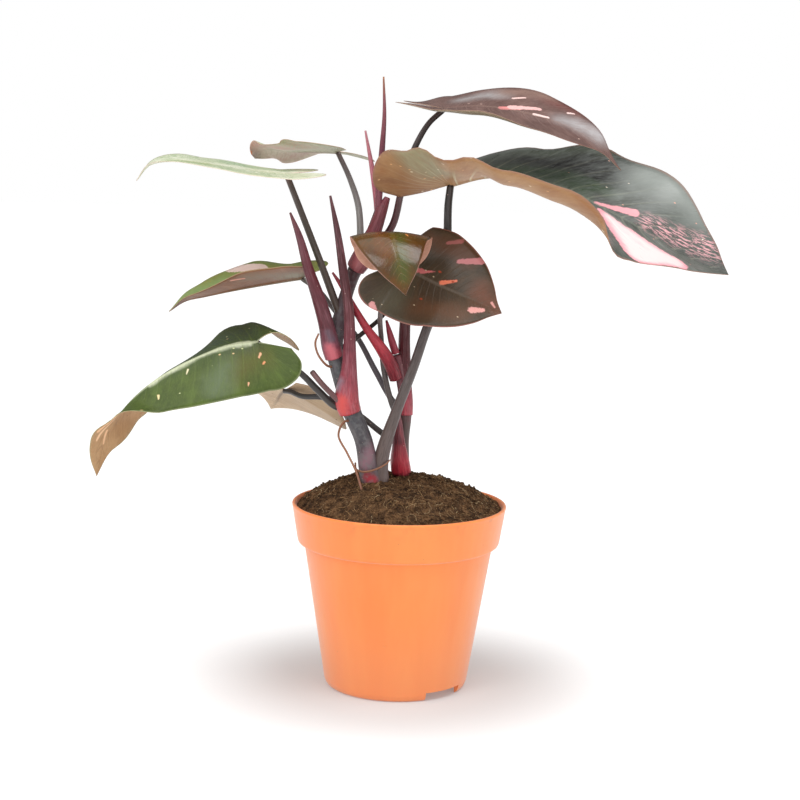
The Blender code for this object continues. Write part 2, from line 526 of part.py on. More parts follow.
def blade_grid(leaf, side):
    """A half blade's points: one row for each side vein, from the midrib to the edge."""
    first = round(LOBE_VEINS * leaf["veins"])
    steps = np.concatenate([np.linspace(0, LOBE_VEINS, first + 1),
                            np.linspace(LOBE_VEINS, 1, leaf["veins"] - first + 1)[1:]])
    vein, share = np.meshgrid(steps, np.linspace(0, 1, leaf["ribs"] + 1), indexing="ij")
    edge = smooth_curve(leaf[side + "_edge"], vein)
    start = np.clip((vein - LOBE_VEINS) / (1 - LOBE_VEINS), 0, 1) ** 1.15
    along = start + (edge[..., 0] - start) * share**VEIN_SWEEP
    out = np.maximum(edge[..., 1], 0) * share
    return blade_points(leaf, side, along, out), first


def upper_skin(leaf):
    """Points and triangles of a blade's middle surface, both halves sharing the midrib."""
    veins, ribs = leaf["veins"], leaf["ribs"]
    points = []
    index = {}
    triangles = []
    for side in ("left", "right"):
        grid, first = blade_grid(leaf, side)

        def place(i, j):
            key = ("midrib", max(i, first)) if j == 0 or i == veins else (side, i, j)
            if key not in index:
                index[key] = len(points)
                points.append(grid[key[1], 0] if key[0] == "midrib" else grid[i, j])
            return index[key]

        for i in range(veins):
            for j in range(ribs):
                a, b, c, d = place(i, j), place(i + 1, j), place(i + 1, j + 1), place(i, j + 1)
                for corners in ((a, b, c), (a, c, d)):
                    if len(set(corners)) == 3:
                        triangles.append(corners if side == "left" else corners[::-1])
    return np.array(points), triangles


def point_normals(points, triangles):
    corners = np.array(triangles)
    across = np.cross(points[corners[:, 1]] - points[corners[:, 0]],
                      points[corners[:, 2]] - points[corners[:, 0]])
    normals = np.zeros_like(points)
    for k in range(3):
        np.add.at(normals, corners[:, k], across)
    return unit(normals)


def make_blade(name, leaf):
    """A blade as a thin solid whose two skins are split into the same triangles."""
    middle, triangles = upper_skin(leaf)
    normals = point_normals(middle, triangles)
    count = len(middle)
    points = np.concatenate([middle + normals * BLADE / 2, middle - normals * BLADE / 2])
    faces = list(triangles)
    faces += [(c + count, b + count, a + count) for a, b, c in triangles]
    edges = {}
    for a, b, c in triangles:
        for start, end in ((a, b), (b, c), (c, a)):
            edges[(start, end)] = True
    for start, end in edges:
        if (end, start) not in edges:
            faces.append((end, start, start + count))
            faces.append((end, start + count, end + count))
    return add_object(name, points, faces), normals[0]


def sunk_stalk(leaf, upper):
    """A leaf's stalk with its end moved down so far that it doesn't show above the blade."""
    path = np.array(leaf["stalk"], float)
    way = unit(path[-1, :3] - path[-2, :3])
    lying = math.sqrt(max(0.0, 1 - np.dot(way, upper) ** 2))
    path[-1, :3] = np.array(leaf["midrib"][0]) - upper * path[-1, 3] * 0.8 * lying
    return path


def make_leaf(name, leaf):
    """A blade joined to its stalk, which meets it from below."""
    blade, upper = make_blade(name, leaf)
    combine(blade, [tube("stalk", sunk_stalk(leaf, upper), STALK_SIDES)], "UNION")
    hollow_out(blade)
    finish(blade, leaf["colour"], 0.35)


def swollen(name):
    """A piece's rod with the touching gap added, to cut its neighbours with."""
    if name == "stem_left":
        return tube("cutter", STEM_LEFT, STEM_SIDES, GAP)
    if name == "stem_right":
        return tube("cutter", STEM_RIGHT, STEM_SIDES, GAP)
    if name in LEAVES:
        return tube("cutter", LEAVES[name]["stalk"], STALK_SIDES, GAP)
    return tube("cutter", SHEATHS[name], STEM_SIDES, GAP)


def hollow_out(thing):
    combine(thing, [swollen(name) for name in HOLLOWED_BY[thing.name]], "DIFFERENCE")


def make_stems():
    left = tube("stem_left", STEM_LEFT, STEM_SIDES)
    roots = [tube(name, path, ROOT_SIDES) for name, path in ROOTS.items()]
    combine(left, roots, "UNION")
    finish(left, STEM_COLOUR, 0.5)
    finish(tube("stem_right", STEM_RIGHT, STEM_SIDES), STEM_COLOUR, 0.5)


def make_sheaths():
    for name, path in SHEATHS.items():
        sheath = tube(name, path, STEM_SIDES)
        hollow_out(sheath)
        finish(sheath, CUT_STALK_COLOUR if name == "cut_stalk" else SHEATH_COLOUR, 0.4)


def main():
    clear_scene()
    make_pot()
    make_soil()
    make_stems()
    make_sheaths()
    for name, leaf in LEAVES.items():
        make_leaf(name, leaf)


main()
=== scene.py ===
"""The looks of a pink princess philodendron in its nursery pot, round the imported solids.

Places are in millimetres in the frame of the solids: x to the right, y to the back and z up from
the middle of the pot's underside.
"""

import random
from math import cos, exp, hypot, pi, radians, sin, sqrt

import bmesh
import bpy
import numpy as np
from mathutils import Matrix, Vector, noise


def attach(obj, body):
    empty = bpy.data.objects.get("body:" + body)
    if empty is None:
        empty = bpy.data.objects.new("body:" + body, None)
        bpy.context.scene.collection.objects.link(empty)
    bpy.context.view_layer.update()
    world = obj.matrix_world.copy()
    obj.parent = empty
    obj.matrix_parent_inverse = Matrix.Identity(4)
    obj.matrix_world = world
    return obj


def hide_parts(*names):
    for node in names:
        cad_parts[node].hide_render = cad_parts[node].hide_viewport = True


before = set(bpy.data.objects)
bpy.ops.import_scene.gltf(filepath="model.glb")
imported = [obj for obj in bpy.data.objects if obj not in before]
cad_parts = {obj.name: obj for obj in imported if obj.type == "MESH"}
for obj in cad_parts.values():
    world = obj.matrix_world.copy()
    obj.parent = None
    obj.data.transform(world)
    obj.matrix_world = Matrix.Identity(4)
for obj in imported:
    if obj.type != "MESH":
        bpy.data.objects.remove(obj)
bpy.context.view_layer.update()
MM = 0.001

# The camera, fitted to the pot's rim, band and foot in the photograph.
CAMERA_PLACE = (-1.0, -1200.0, 372.5)
CAMERA_PITCH = 0.152
CAMERA_ROLL = 0.023
CAMERA_LENS = 84.26

# The studio: the strength of its walls, a lamp on the left and one above, in watts, and a wide sun.
FRONT_LIGHT = 0.85
BACK_LIGHT = 0.16
SIDE_LIGHT = 0.4
FRONT_TO_BACK = (-0.3, 0.5)
KEY_POWER = 7.5
OVER_POWER = 7.0
LAMP_SIZE = 0.7
SUN_STRENGTH = 1.0
SUN_WIDTH = 60.0

# The floor's half width in metres, and its glow, which grows between two reaches in millimetres
# from the pot's middle: the weaker glow near the pot is a painted shadow round it, and the full glow
# further out keeps the floor white.
FLOOR_SIZE = 6.0
PAINTED_SHADOW_REACH = (65.0, 175.0)
GLOW_IN_PAINTED_SHADOW = 0.2
GLOW_FAR = 0.62

# Leaf blades: the side veins that show in each half, the share of them in the lobe, how far they
# sweep forward, the steps across them and out along them, and thicknesses in millimetres.
SIDE_VEINS = 26.0
LOBE_VEINS = 0.36
VEIN_SWEEP = 1.3
VEIN_STEPS = 84
RIB_STEPS = 15
BLADE = 0.6
RIM_BLADE = 0.25
MIDRIB_DEPTH = 1.5

# Outlines of half blades, as (along, out) in shares of the midrib's length and the half width.
LOBE = [(-0.17, 0.1), (-0.23, 0.32), (-0.19, 0.64), (-0.05, 0.91), (0.16, 1)]
POINT = [(0.38, 0.92), (0.6, 0.7), (0.8, 0.4), (0.92, 0.15), (1, 0)]
HEART = LOBE + POINT
BROAD_HEART = LOBE + [(0.38, 0.97), (0.6, 0.8), (0.8, 0.53), (0.92, 0.28), (0.97, 0.1), (1, 0)]
FULL_ENDED = LOBE + [(0.38, 0.97), (0.6, 0.86), (0.78, 0.62), (0.9, 0.3), (0.97, 0.1), (1, 0)]
BLUNT = LOBE + [(0.38, 0.95), (0.6, 0.8), (0.8, 0.52), (0.93, 0.3), (1, 0)]
LONG_LOBED = [(-0.2, 0.1), (-0.27, 0.32), (-0.23, 0.64), (-0.07, 0.91), (0.16, 1)] + POINT
SHORT_LOBED = [(-0.03, 0.1), (-0.06, 0.32), (-0.05, 0.64), (0.02, 0.91), (0.18, 1)] + POINT
LONG_TIPPED = [(-0.17, 0.1), (-0.22, 0.32), (-0.19, 0.64), (-0.05, 0.91), (0.16, 1), (0.38, 0.92),
    (0.6, 0.68), (0.78, 0.36), (0.88, 0.12), (0.94, 0.04), (1, 0)]
NARROWING = [(-0.17, 0.1), (-0.23, 0.32), (-0.19, 0.64), (-0.05, 0.91), (0.14, 0.98), (0.32, 0.78),
    (0.5, 0.5), (0.7, 0.24), (0.88, 0.08), (1, 0)]
NARROW_NEAR = [(-0.15, 0.04), (-0.18, 0.28), (-0.13, 0.62), (-0.02, 0.84), (0.18, 0.9), (0.38, 0.8),
    (0.6, 0.54), (0.8, 0.36), (0.92, 0.15), (1, 0)]
ROUND_LONG_LOBE = [(-0.17, 0.1), (-0.28, 0.35), (-0.25, 0.7), (-0.08, 0.95), (0.17, 1.02), (0.42, 1),
    (0.66, 0.8), (0.82, 0.5), (0.92, 0.2), (1, 0)]
ROUND_SHORT_LOBE = [(-0.05, 0.1), (-0.1, 0.35), (-0.09, 0.72), (0, 1), (0.18, 1.1), (0.42, 1),
    (0.66, 0.76), (0.82, 0.45), (0.92, 0.17), (1, 0)]
BLUNT_SHORT = [(-0.03, 0.1), (-0.05, 0.3), (-0.03, 0.6), (0.04, 0.88), (0.18, 1), (0.38, 0.95),
    (0.6, 0.8), (0.8, 0.56), (0.93, 0.32), (1, 0)]

# Each leaf's half width, midrib, the outlines of its halves, the ways in which its lobes run back
# and its halves lean and curl at places along the midrib, and its stalk as (x, y, z, radius).
LEAVES = {
    "leaf_big_right": dict(
        slot="dark_leaf", width=66, left_edge=BROAD_HEART, right_edge=FULL_ENDED,
        left_back=(-0.85, 0.3, 0.05), right_back=(-0.9, 0, -0.38),
        midrib=[(28, 4, 328), (50, 0, 334), (72, -4, 334), (97, -8, 329), (123, -10, 317), (148, -12, 304),
            (177, -14, 287), (205, -16, 276)],
        left=[(-0.2, (-0.1, 0.95, -0.25)), (-0.05, (0, 0.98, -0.1)), (0.05, (0, 0.97, 0.15)),
            (0.25, (0, 0.95, 0.28)), (0.5, (0.1, 0.78, 0.6)), (0.75, (0.3, 0.45, 0.8))],
        right=[(-0.2, (-0.35, -0.7, 0.68)), (-0.05, (0, -0.9, 0.42)), (0.1, (0, -0.99, 0.05)),
            (0.22, (0, -0.93, -0.36)), (0.4, (0, -0.8, -0.6)), (0.55, (0, -0.75, -0.65)),
            (0.68, (-0.1, -0.85, -0.45)), (0.85, (-0.1, -0.95, -0.2))],
        right_curl=[(0, 0.2), (0.1, 0.4), (0.22, 0.9), (0.4, 1.3), (0.52, 1.3), (0.66, 0.2), (0.9, -0.1)],
        stalk=[(-10, -10, 122, 5), (-11, -9.5, 133, 5), (-12.5, -8.5, 145, 4.9), (-11, -8, 157, 4.6),
            (-3, -9, 183, 3.5), (7, -9, 211, 3.2), (16, -8, 239, 3), (24, -4, 256, 2.9), (27, 0, 274, 2.8),
            (27, 2, 296, 2.7), (27, 3, 315, 2.5), (28, 4, 328, 2.3)]),
    "leaf_top_right": dict(
        slot="dark_leaf", width=39, left_edge=LONG_TIPPED, right_edge=LONG_TIPPED, left_back=(-1, 0, 0.15),
        right_back=(-1, 0, 0.15),
        midrib=[(22, 6, 376), (45, 2, 378), (71, -2, 375), (96, -6, 368), (118, -8, 357), (135, -10, 340)],
        left=[(-0.2, (0, 0.98, 0)), (0, (0, 0.97, 0.2)), (0.5, (0.1, 0.87, 0.45)), (1, (0.3, 0.6, 0.6))],
        right=[(-0.2, (0, -0.98, -0.1)), (0, (0, -0.96, -0.15)), (0.2, (0, -0.88, -0.45)),
            (0.5, (0, -0.8, -0.6)), (1, (0, -0.85, -0.5))],
        right_curl=[(0, 0.3), (0.2, 0.8), (0.5, 0.9), (1, 0.2)],
        stalk=[(-25, 1, 281, 2.6), (-9, 3, 300, 2.4), (-3, 4, 324, 2.2), (4, 5, 349, 2), (13, 6, 366, 1.8),
            (22, 6, 376, 1.8)]),
    "leaf_high_left": dict(
        slot="pale_leaf", width=40, left_edge=HEART, right_edge=HEART, left_back=(0.95, 0, 0.06),
        right_back=(0.7, 0.3, 0.05),
        midrib=[(-76, -6, 333), (-99, -10, 335), (-121, -14, 338), (-145, -18, 340), (-161, -20, 337),
            (-169, -22, 327)],
        left=[(0, (0, -1, -0.05)), (0.6, (0, -1, -0.03)), (1, (0, -1, 0.03))],
        right=[(0, (0, 1, 0.02)), (0.5, (0, 1, 0.06)), (0.8, (0, 1, 0.2))],
        stalk=[(-40, -2, 241, 2.6), (-53, -4, 275, 2.3), (-65, -5, 305, 2.1), (-76, -6, 331, 1.9)]),
    "leaf_high_back": dict(
        slot="pale_leaf", width=36, left_edge=BLUNT, right_edge=BLUNT_SHORT, left_back=(0.5, -0.6, 0.05),
        right_back=(0.5, -0.6, 0.05),
        midrib=[(-45, 26, 347), (-57, 42, 347), (-78, 58, 346), (-96, 72, 346), (-103, 76, 340)],
        left=[(0, (0, -0.97, 0.08)), (0.6, (-0.2, -1, 0.1)), (1, (-0.1, -0.8, 0.35))],
        left_curl=[(0, 0.1)],
        right=[(0, (0, 0.95, -0.08)), (0.6, (0, 0.95, -0.03)), (1, (0, 0.6, -0.6))],
        right_curl=[(0, -0.1)],
        stalk=[(-29, 2, 274, 2.5), (-29, 10, 294, 2.3), (-31, 18, 313, 2.1), (-37, 23, 330, 1.8),
            (-45, 26, 346, 1.6)]),
    "leaf_middle_left": dict(
        slot="green_leaf", width=40, left_edge=SHORT_LOBED, right_edge=HEART, left_back=(0.9, 0.2, -0.1),
        right_back=(0.95, 0, 0.3),
        midrib=[(-67, 22, 265), (-76, 20, 263.5), (-95, 16, 260), (-112, 13, 256.5), (-129, 10, 252.5),
            (-142, 9, 249), (-152, 8, 242)],
        left=[(0, (0, -0.96, 0.2)), (0.2, (0, -0.95, 0.24)), (0.45, (0, -0.94, 0.31)),
            (0.8, (0, -0.95, 0.2))],
        left_curl=[(0, 0.1)],
        right=[(0, (0, 0.93, 0.22)), (0.3, (0, 0.93, 0.38)), (1, (0, 0.93, 0.38))],
        right_curl=[(0, -0.1)],
        stalk=[(2, 12, 178, 2.2), (-6, 14, 186, 2), (-18, 16, 206, 1.9), (-30, 17, 227, 1.7),
            (-45, 18, 244, 1.6), (-55, 20, 256, 1.6), (-66, 22, 263.5, 1.6)]),
    "leaf_low_left": dict(
        slot="green_leaf", width=40, left_edge=NARROW_NEAR, right_edge=LONG_LOBED,
        left_back=(0.95, -0.1, -0.1), right_back=(0.75, 0.08, 0.65), right_bend=(0, 0, -430),
        midrib=[(-93, -10, 226), (-113, -16, 223), (-145, -24, 209), (-165, -30, 195), (-179, -34, 179),
            (-189, -36, 161), (-192, -36, 141)],
        left=[(0, (0, -0.55, -0.82)), (0.55, (0, -0.6, -0.78)), (0.72, (-0.2, -0.8, -0.2)),
            (0.85, (-0.6, -0.8, -0.1)), (1, (-0.8, -0.4, -0.3))],
        left_curl=[(0, -0.2), (0.7, 0)],
        right=[(-0.2, (0.2, 0.9, 0.05)), (0, (0, 0.93, 0.38)), (0.4, (0, 0.95, 0.05)),
            (0.65, (0.2, 0.9, -0.3)), (0.85, (0.6, 0.7, -0.3))],
        right_curl=[(0, -0.4)],
        stalk=[(-33, -5, 184, 2.4), (-42, -6.5, 184.5, 2.4), (-54, -8, 195, 2.3), (-64, -9, 205, 2.1),
            (-75, -8, 212.5, 1.9), (-86, -7.5, 219, 1.8), (-93, -10, 225, 1.8)]),
    "leaf_low_back": dict(
        slot="pale_leaf", width=50, left_edge=NARROWING, right_edge=NARROWING, left_back=(-0.3, -0.6, 0.7),
        right_back=(0.3, -0.6, 0.7),
        midrib=[(-77, 20, 191), (-81, 40, 185), (-85, 60, 177), (-90, 76, 169)],
        left=[(0, (-0.85, 0, 0.3))],
        left_curl=[(0, -0.3)],
        right=[(0, (0.88, 0, -0.4))],
        right_curl=[(0, -0.2)],
        stalk=[(1, 11, 156, 2.2), (-14, 11, 166, 2), (-25, 9, 175, 1.9), (-37, 8, 183, 1.9),
            (-51, 8, 188, 1.9), (-65, 11, 188, 1.8), (-73, 16, 190, 1.7), (-77, 20, 191, 1.6)]),
    "leaf_folded_front": dict(
        slot="dark_leaf", width=26, left_edge=HEART, right_edge=HEART, left_back=(0, 0, -1),
        right_back=(0, 0, -1),
        midrib=[(-8, -22, 291), (-9, -32, 299), (-8, -48, 297), (-4, -60, 283), (1, -66, 263)],
        left=[(0, (1, 0.1, 0)), (1, (1, 0, 0))],
        left_curl=[(0, -0.3)],
        right=[(0, (-1, 0.1, 0)), (1, (-1, 0, 0))],
        right_curl=[(0, -0.3)],
        stalk=[(2, 8, 171, 2.2), (-5, 7, 182, 2), (-12, 9, 207, 1.8), (-14, 7, 227, 1.7),
            (-15, 0, 244, 1.6), (-12, -6, 264, 1.5), (-11, -9, 279, 1.5), (-9, -15, 286, 1.5),
            (-8, -22, 290, 1.4)]),
    "leaf_round": dict(
        slot="dark_leaf", width=33, left_edge=ROUND_SHORT_LOBE, right_edge=ROUND_LONG_LOBE,
        left_back=(-0.6, 0.1, -0.15), right_back=(-0.97, 0.1, 0.15),
        midrib=[(0, -16, 276), (20, -26, 267), (41, -36, 259), (61, -42, 251)],
        left=[(-0.2, (0, 0.45, 0.85)), (0.1, (0.1, 0.42, 0.86)), (0.4, (0.45, 0.2, 0.88))],
        left_curl=[(0, -0.2)],
        right=[(0, (-0.35, -0.3, -0.9)), (0.5, (-0.2, -0.65, -0.7))],
        stalk=[(-41, -2, 221, 2), (-34, 3, 225, 1.7), (-25, 6, 232, 1.5), (-15, 5, 241, 1.4),
            (-5, -6, 257, 1.4), (0, -15, 275, 1.4)]),
}

# Sheaths and the rolled new leaf, from their bases up, as (x, y, z, radius).
SHEATHS = {
    "sheath_left": [(-44, -3, 217, 6.4), (-46, -5, 223, 6.2), (-49, -9, 237, 5), (-54, -13, 254, 4.2),
        (-61, -15, 274, 3.2), (-67, -15, 294, 2.2), (-73, -15, 309, 0.7)],
    "sheath_middle": [(-33, -6, 181, 7.4), (-35, -7, 188, 7.9), (-35, -9, 196, 7.2), (-34, -11, 209, 5),
        (-34, -12, 228, 3.7), (-35, -12, 248, 3.2), (-39, -12, 273, 2.7), (-43, -12, 297, 2),
        (-48, -12, 320, 0.7)],
    "sheath_right": [(-4, 7, 202, 4.4), (-7, 4, 210, 4.5), (-13, -2, 221, 3.9), (-23, -6, 235, 2.7),
        (-32, -6, 249, 2.2), (-39, -6, 261, 1.7), (-46, -6, 271, 0.7)],
    "sheath_upper": [(-31, -1, 274, 6.3), (-28, -3, 279, 6.6), (-24, -4, 288, 5.6), (-19, -4, 300, 4.2),
        (-15, -2, 312, 3.3), (-12, 0, 319, 1.8)],
    "sheath_top": [(-18, 3, 304, 1.7), (-19, 5, 317, 1.9), (-22, 5, 336, 1.6), (-27, 5, 361, 0.6)],
    "new_leaf_spear": [(-18, -1, 306, 2), (-17, -1, 327, 2.2), (-16, -1, 349, 1.8), (-15, -1, 371, 1.2),
        (-16, -1, 395, 0.5)],
    "sheath_upright": [(3, 8, 178, 4.7), (3, 8, 186, 4.6), (2, 9, 201, 4), (1, 9, 224, 3.7), (1, 9, 246, 3),
        (-1, 9, 266, 0.8)],
    "sheath_small": [(-4.5, 6.5, 218.5, 2.6), (-7, 5, 226, 2.3), (-9, 4, 233, 1.7), (-11, 4, 240, 0.7)],
    "sheath_low": [(1, 7, 140, 6.6), (0, 5, 147, 6.2), (-1, 2, 159, 4.2), (-2, 1, 172, 3),
        (-3, 0, 185, 1.2)],
}

# The upper faces. The tones are the ground colour, that of its clouds, of the streaks along the side
# veins and of the finest ones. Side veins have a colour and a strength far from the stalk and near
# it, and the midrib a colour and a strength. Zones lie under the streaks, marks over them, and mottles
# show through them in part: each row is a tapered mark from (along, out) to (along, out), in the
# shares of the outlines with out below 0 on the right half, then the radius at each end in
# millimetres, the softness of its edge and its colour. A few zones are painted sheen and one is a
# painted highlight, each noted where it stands. Specks have a spacing, a size, the share of places
# that have one, and a colour.
TOPS = {
    "leaf_big_right": dict(
        tones=("5c605b", "474a43", "7a7f7a", "8f9490"), veins=("b4b49a", 0.15, 0.9), rib=("85897a", 0.5),
        rough=0.3,
        zones=[(0.02, 0.2, 0.45, 0.25, 10, 13, 14, "425738"), (0.08, 0.5, 0.3, 0.55, 8, 10, 10, "39402e"),
            (0.24, 0.66, 0.46, 0.6, 15, 21, 8, "0e0b06"), (0.3, 0.2, 0.46, 0.22, 5, 5, 6, "33452c"),
            # The pale grey zone far out on the left half is a painted sheen, the silver its gloss shows.
            (0.1, 0.75, 0.45, 0.92, 9, 9, 9, "3a3f33"), (0.62, 0.62, 0.86, 0.5, 13, 12, 16, "8c918c"),
            (0.66, 0.22, 0.92, 0.18, 7, 8, 12, "555a55"), (0.5, 0.1, 0.97, 0.06, 4, 5, 8, "4a4946")],
        mottles=[(0.68, 0.1, 0.93, 0.2, 5, 8, 5, "dba4a8")],
        marks=[(0.5, 0.01, 0.63, 0.13, 1, 3, 0.5, "e99fa6"),
            (0.52, -0.06, 0.81, -0.36, 1.5, 9, 0.6, "f0a2ac"),
            (0.53, -0.07, 0.71, -0.52, 1.5, 13, 0.6, "f0a2ac"),
            (0.71, -0.52, 0.81, -0.36, 13, 9, 0.6, "f0a2ac"),
            (0.55, -0.09, 0.8, -0.36, 0.8, 6.5, 4, "f8dcda"),
            (0.56, -0.1, 0.71, -0.5, 0.8, 10, 4, "f8dcda"), (0.71, -0.5, 0.8, -0.36, 10, 6.5, 4, "f8dcda")],
        specks=[(4, 0.13, 0.14, "d9a08c"), (6, 0.1, 0.2, "e8dcc8")]),
    "leaf_top_right": dict(
        tones=("6b504a", "5c443f", "7d625b", "957b74"), veins=("8a7069", 0.2, 0.4), rib=("8f746a", 0.4),
        rough=0.3,
        # The two pale grey zones are painted sheen, where the leaf's gloss catches the light.
        zones=[(0.08, 0.5, 0.26, 0.62, 5, 6, 8, "a39f9f"), (0.52, 0.62, 0.68, 0.62, 5, 6, 7, "6b3f3a"),
            (0.62, 0.15, 0.8, 0.2, 5, 6, 8, "aaa7a8"), (0.3, 0.75, 0.5, 0.85, 5, 6, 8, "8c6f64")],
        marks=[(0.3, 0, 0.38, 0.11, 2, 2.6, 0.5, "e58c8a"), (0.35, 0.09, 0.48, 0.24, 3, 1.6, 0.5, "e8b7b3"),
            (0.34, 0.47, 0.39, 0.54, 1.2, 0.9, 0.4, "efcbc4"),
            (0.47, 0.02, 0.54, 0.05, 1.3, 1, 0.4, "f2d6d0"),
            (0.62, 0.42, 0.65, 0.46, 0.9, 0.7, 0.4, "f0cfca")],
        specks=[(5, 0.12, 0.14, "e6c3b4")]),
    "leaf_high_left": dict(
        tones=("cdd1b2", "dfe0cb", "9fb287", "b6c29f"), veins=("e6e6d4", 0.3, 0.4), rib=("e3dfc8", 0.6),
        rough=0.38,
        zones=[(0.55, 0.3, 0.9, 0.2, 7, 6, 8, "b5bd8c"), (0, -0.5, 0.3, -0.6, 8, 9, 8, "a9bda0")],
        mottles=[(0.1, 0.5, 0.8, 0.5, 12, 12, 6, "88a274"), (0.1, -0.5, 0.8, -0.5, 12, 12, 6, "88a274")],
        specks=[(5, 0.12, 0.12, "93a86f")]),
    "leaf_high_back": dict(
        tones=("c3c6a8", "b2b894", "d6d3bd", "9da682"), veins=("dcd9c4", 0.3, 0.5), rib=("d6d0b8", 0.6),
        rough=0.4),
    "leaf_middle_left": dict(
        tones=("7f8f4c", "8f8c42", "6a8040", "9aa668"), veins=("a3ab74", 0.3, 0.4), rib=("b9bd94", 0.6),
        rough=0.38,
        zones=[(0.05, -0.35, 0.28, -0.5, 8, 9, 8, "a09444"), (0.55, -0.3, 0.9, -0.2, 9, 8, 9, "8ea368"),
            (0.55, 0.3, 0.9, 0.2, 9, 8, 9, "8ea368")],
        marks=[(0.44, -0.8, 0.27, -0.66, 6, 6.5, 0.7, "f0d3cb")],
        specks=[(5, 0.12, 0.15, "b98a3c")]),
    "leaf_low_left": dict(
        tones=("485720", "3d4c1c", "576a2b", "6c7a3c"), veins=("6f8040", 0.15, 0.25), rib=("c9cfae", 0.7),
        rough=0.42,
        # The grey-green zone across the left half is a painted sheen, and the cream streak along the midrib
        # a painted highlight.
        zones=[(0, 0.2, 0.12, 0.45, 8, 9, 8, "55551f"), (0.18, 0.35, 0.27, 0.62, 6, 7, 9, "5c6a4c"),
            (0.05, -0.25, 0.6, -0.4, 14, 14, 10, "3b4836"), (0.04, 0, 0.52, 0.02, 1.8, 1.2, 1.6, "cdd2b4")],
        marks=[(0.34, 0.14, 0.355, 0.2, 0.6, 0.3, 0.4, "e8dcb4"),
            (0, 0.22, 0.01, 0.28, 0.8, 0.5, 0.4, "f0b48c"), (-0.01, 0.36, 0, 0.4, 0.6, 0.4, 0.4, "e89c6c"),
            (0.52, 0.28, 0.53, 0.34, 0.8, 0.4, 0.4, "f0d8a0"),
            (0.08, 0.69, 0.085, 0.73, 0.7, 0.4, 0.4, "eab089")],
        specks=[(3.4, 0.16, 0.12, "cfd49c"), (5.5, 0.12, 0.2, "e2c08c")]),
    "leaf_low_back": dict(
        tones=("8f8a62", "7d8052", "a39c74", "b5ad88"), veins=("b9b08c", 0.3, 0.5), rib=("b9b08c", 0.5),
        rough=0.4),
    "leaf_folded_front": dict(
        tones=("4a2c12", "5e3808", "3a3614", "6b481c"), veins=("7c5c24", 0.3, 0.4), rib=("66581f", 0.5),
        rough=0.22, coat=0.3,
        zones=[(-0.15, 0.5, -0.15, -0.5, 7, 7, 6, "5d4a38"), (0.15, 0.25, 0.85, 0.05, 4, 3, 5, "464d1a"),
            (0.2, -0.5, 0.6, -0.2, 4, 3, 5, "6b3a10")],
        marks=[(0, 0.86, 0.08, 0.98, 3.5, 3.5, 0.7, "9a3c40"),
            (0.35, 0.35, 0.39, 0.38, 0.7, 0.5, 0.4, "e0904c")]),
    "leaf_round": dict(
        tones=("443a2c", "3d3226", "523f2e", "645442"), veins=("5f5446", 0.25, 0.4), rib=("75695c", 0.5),
        rough=0.36,
        zones=[(0, -0.1, 0.1, -0.6, 8, 10, 10, "55503f"), (0.05, 0.75, 0.5, 0.75, 5, 6, 6, "5a3a2a"),
            (0.75, 0.2, 0.95, 0, 6, 5, 7, "6e4636"), (0.35, -0.6, 0.7, -0.4, 7, 7, 8, "5c3f2c")],
        marks=[(-0.09, -0.86, -0.05, -0.97, 1.7, 2, 0.4, "dc9a98"),
            (0.06, 0.02, 0.16, 0.1, 2.2, 1.4, 0.4, "c9706f"),
            (0.16, 0.08, 0.27, 0.2, 1.4, 0.3, 0.4, "c9706f"),
            (0.38, 0.06, 0.5, 0.21, 1.5, 0.7, 0.4, "e27a5c"),
            (0.43, 0.58, 0.62, 0.76, 1.5, 2.4, 0.5, "c0787a"),
            (0.22, 0.83, 0.34, 0.97, 1.2, 1.8, 0.6, "9c5c58"),
            (0.76, -0.22, 0.84, -0.12, 2.4, 1.4, 0.5, "e3a39c"),
            (0.88, 0.1, 0.92, 0.05, 0.8, 0.5, 0.4, "d99a92")],
        specks=[(4.2, 0.12, 0.2, "c9b495"), (7, 0.14, 0.2, "a8452c")]),
}

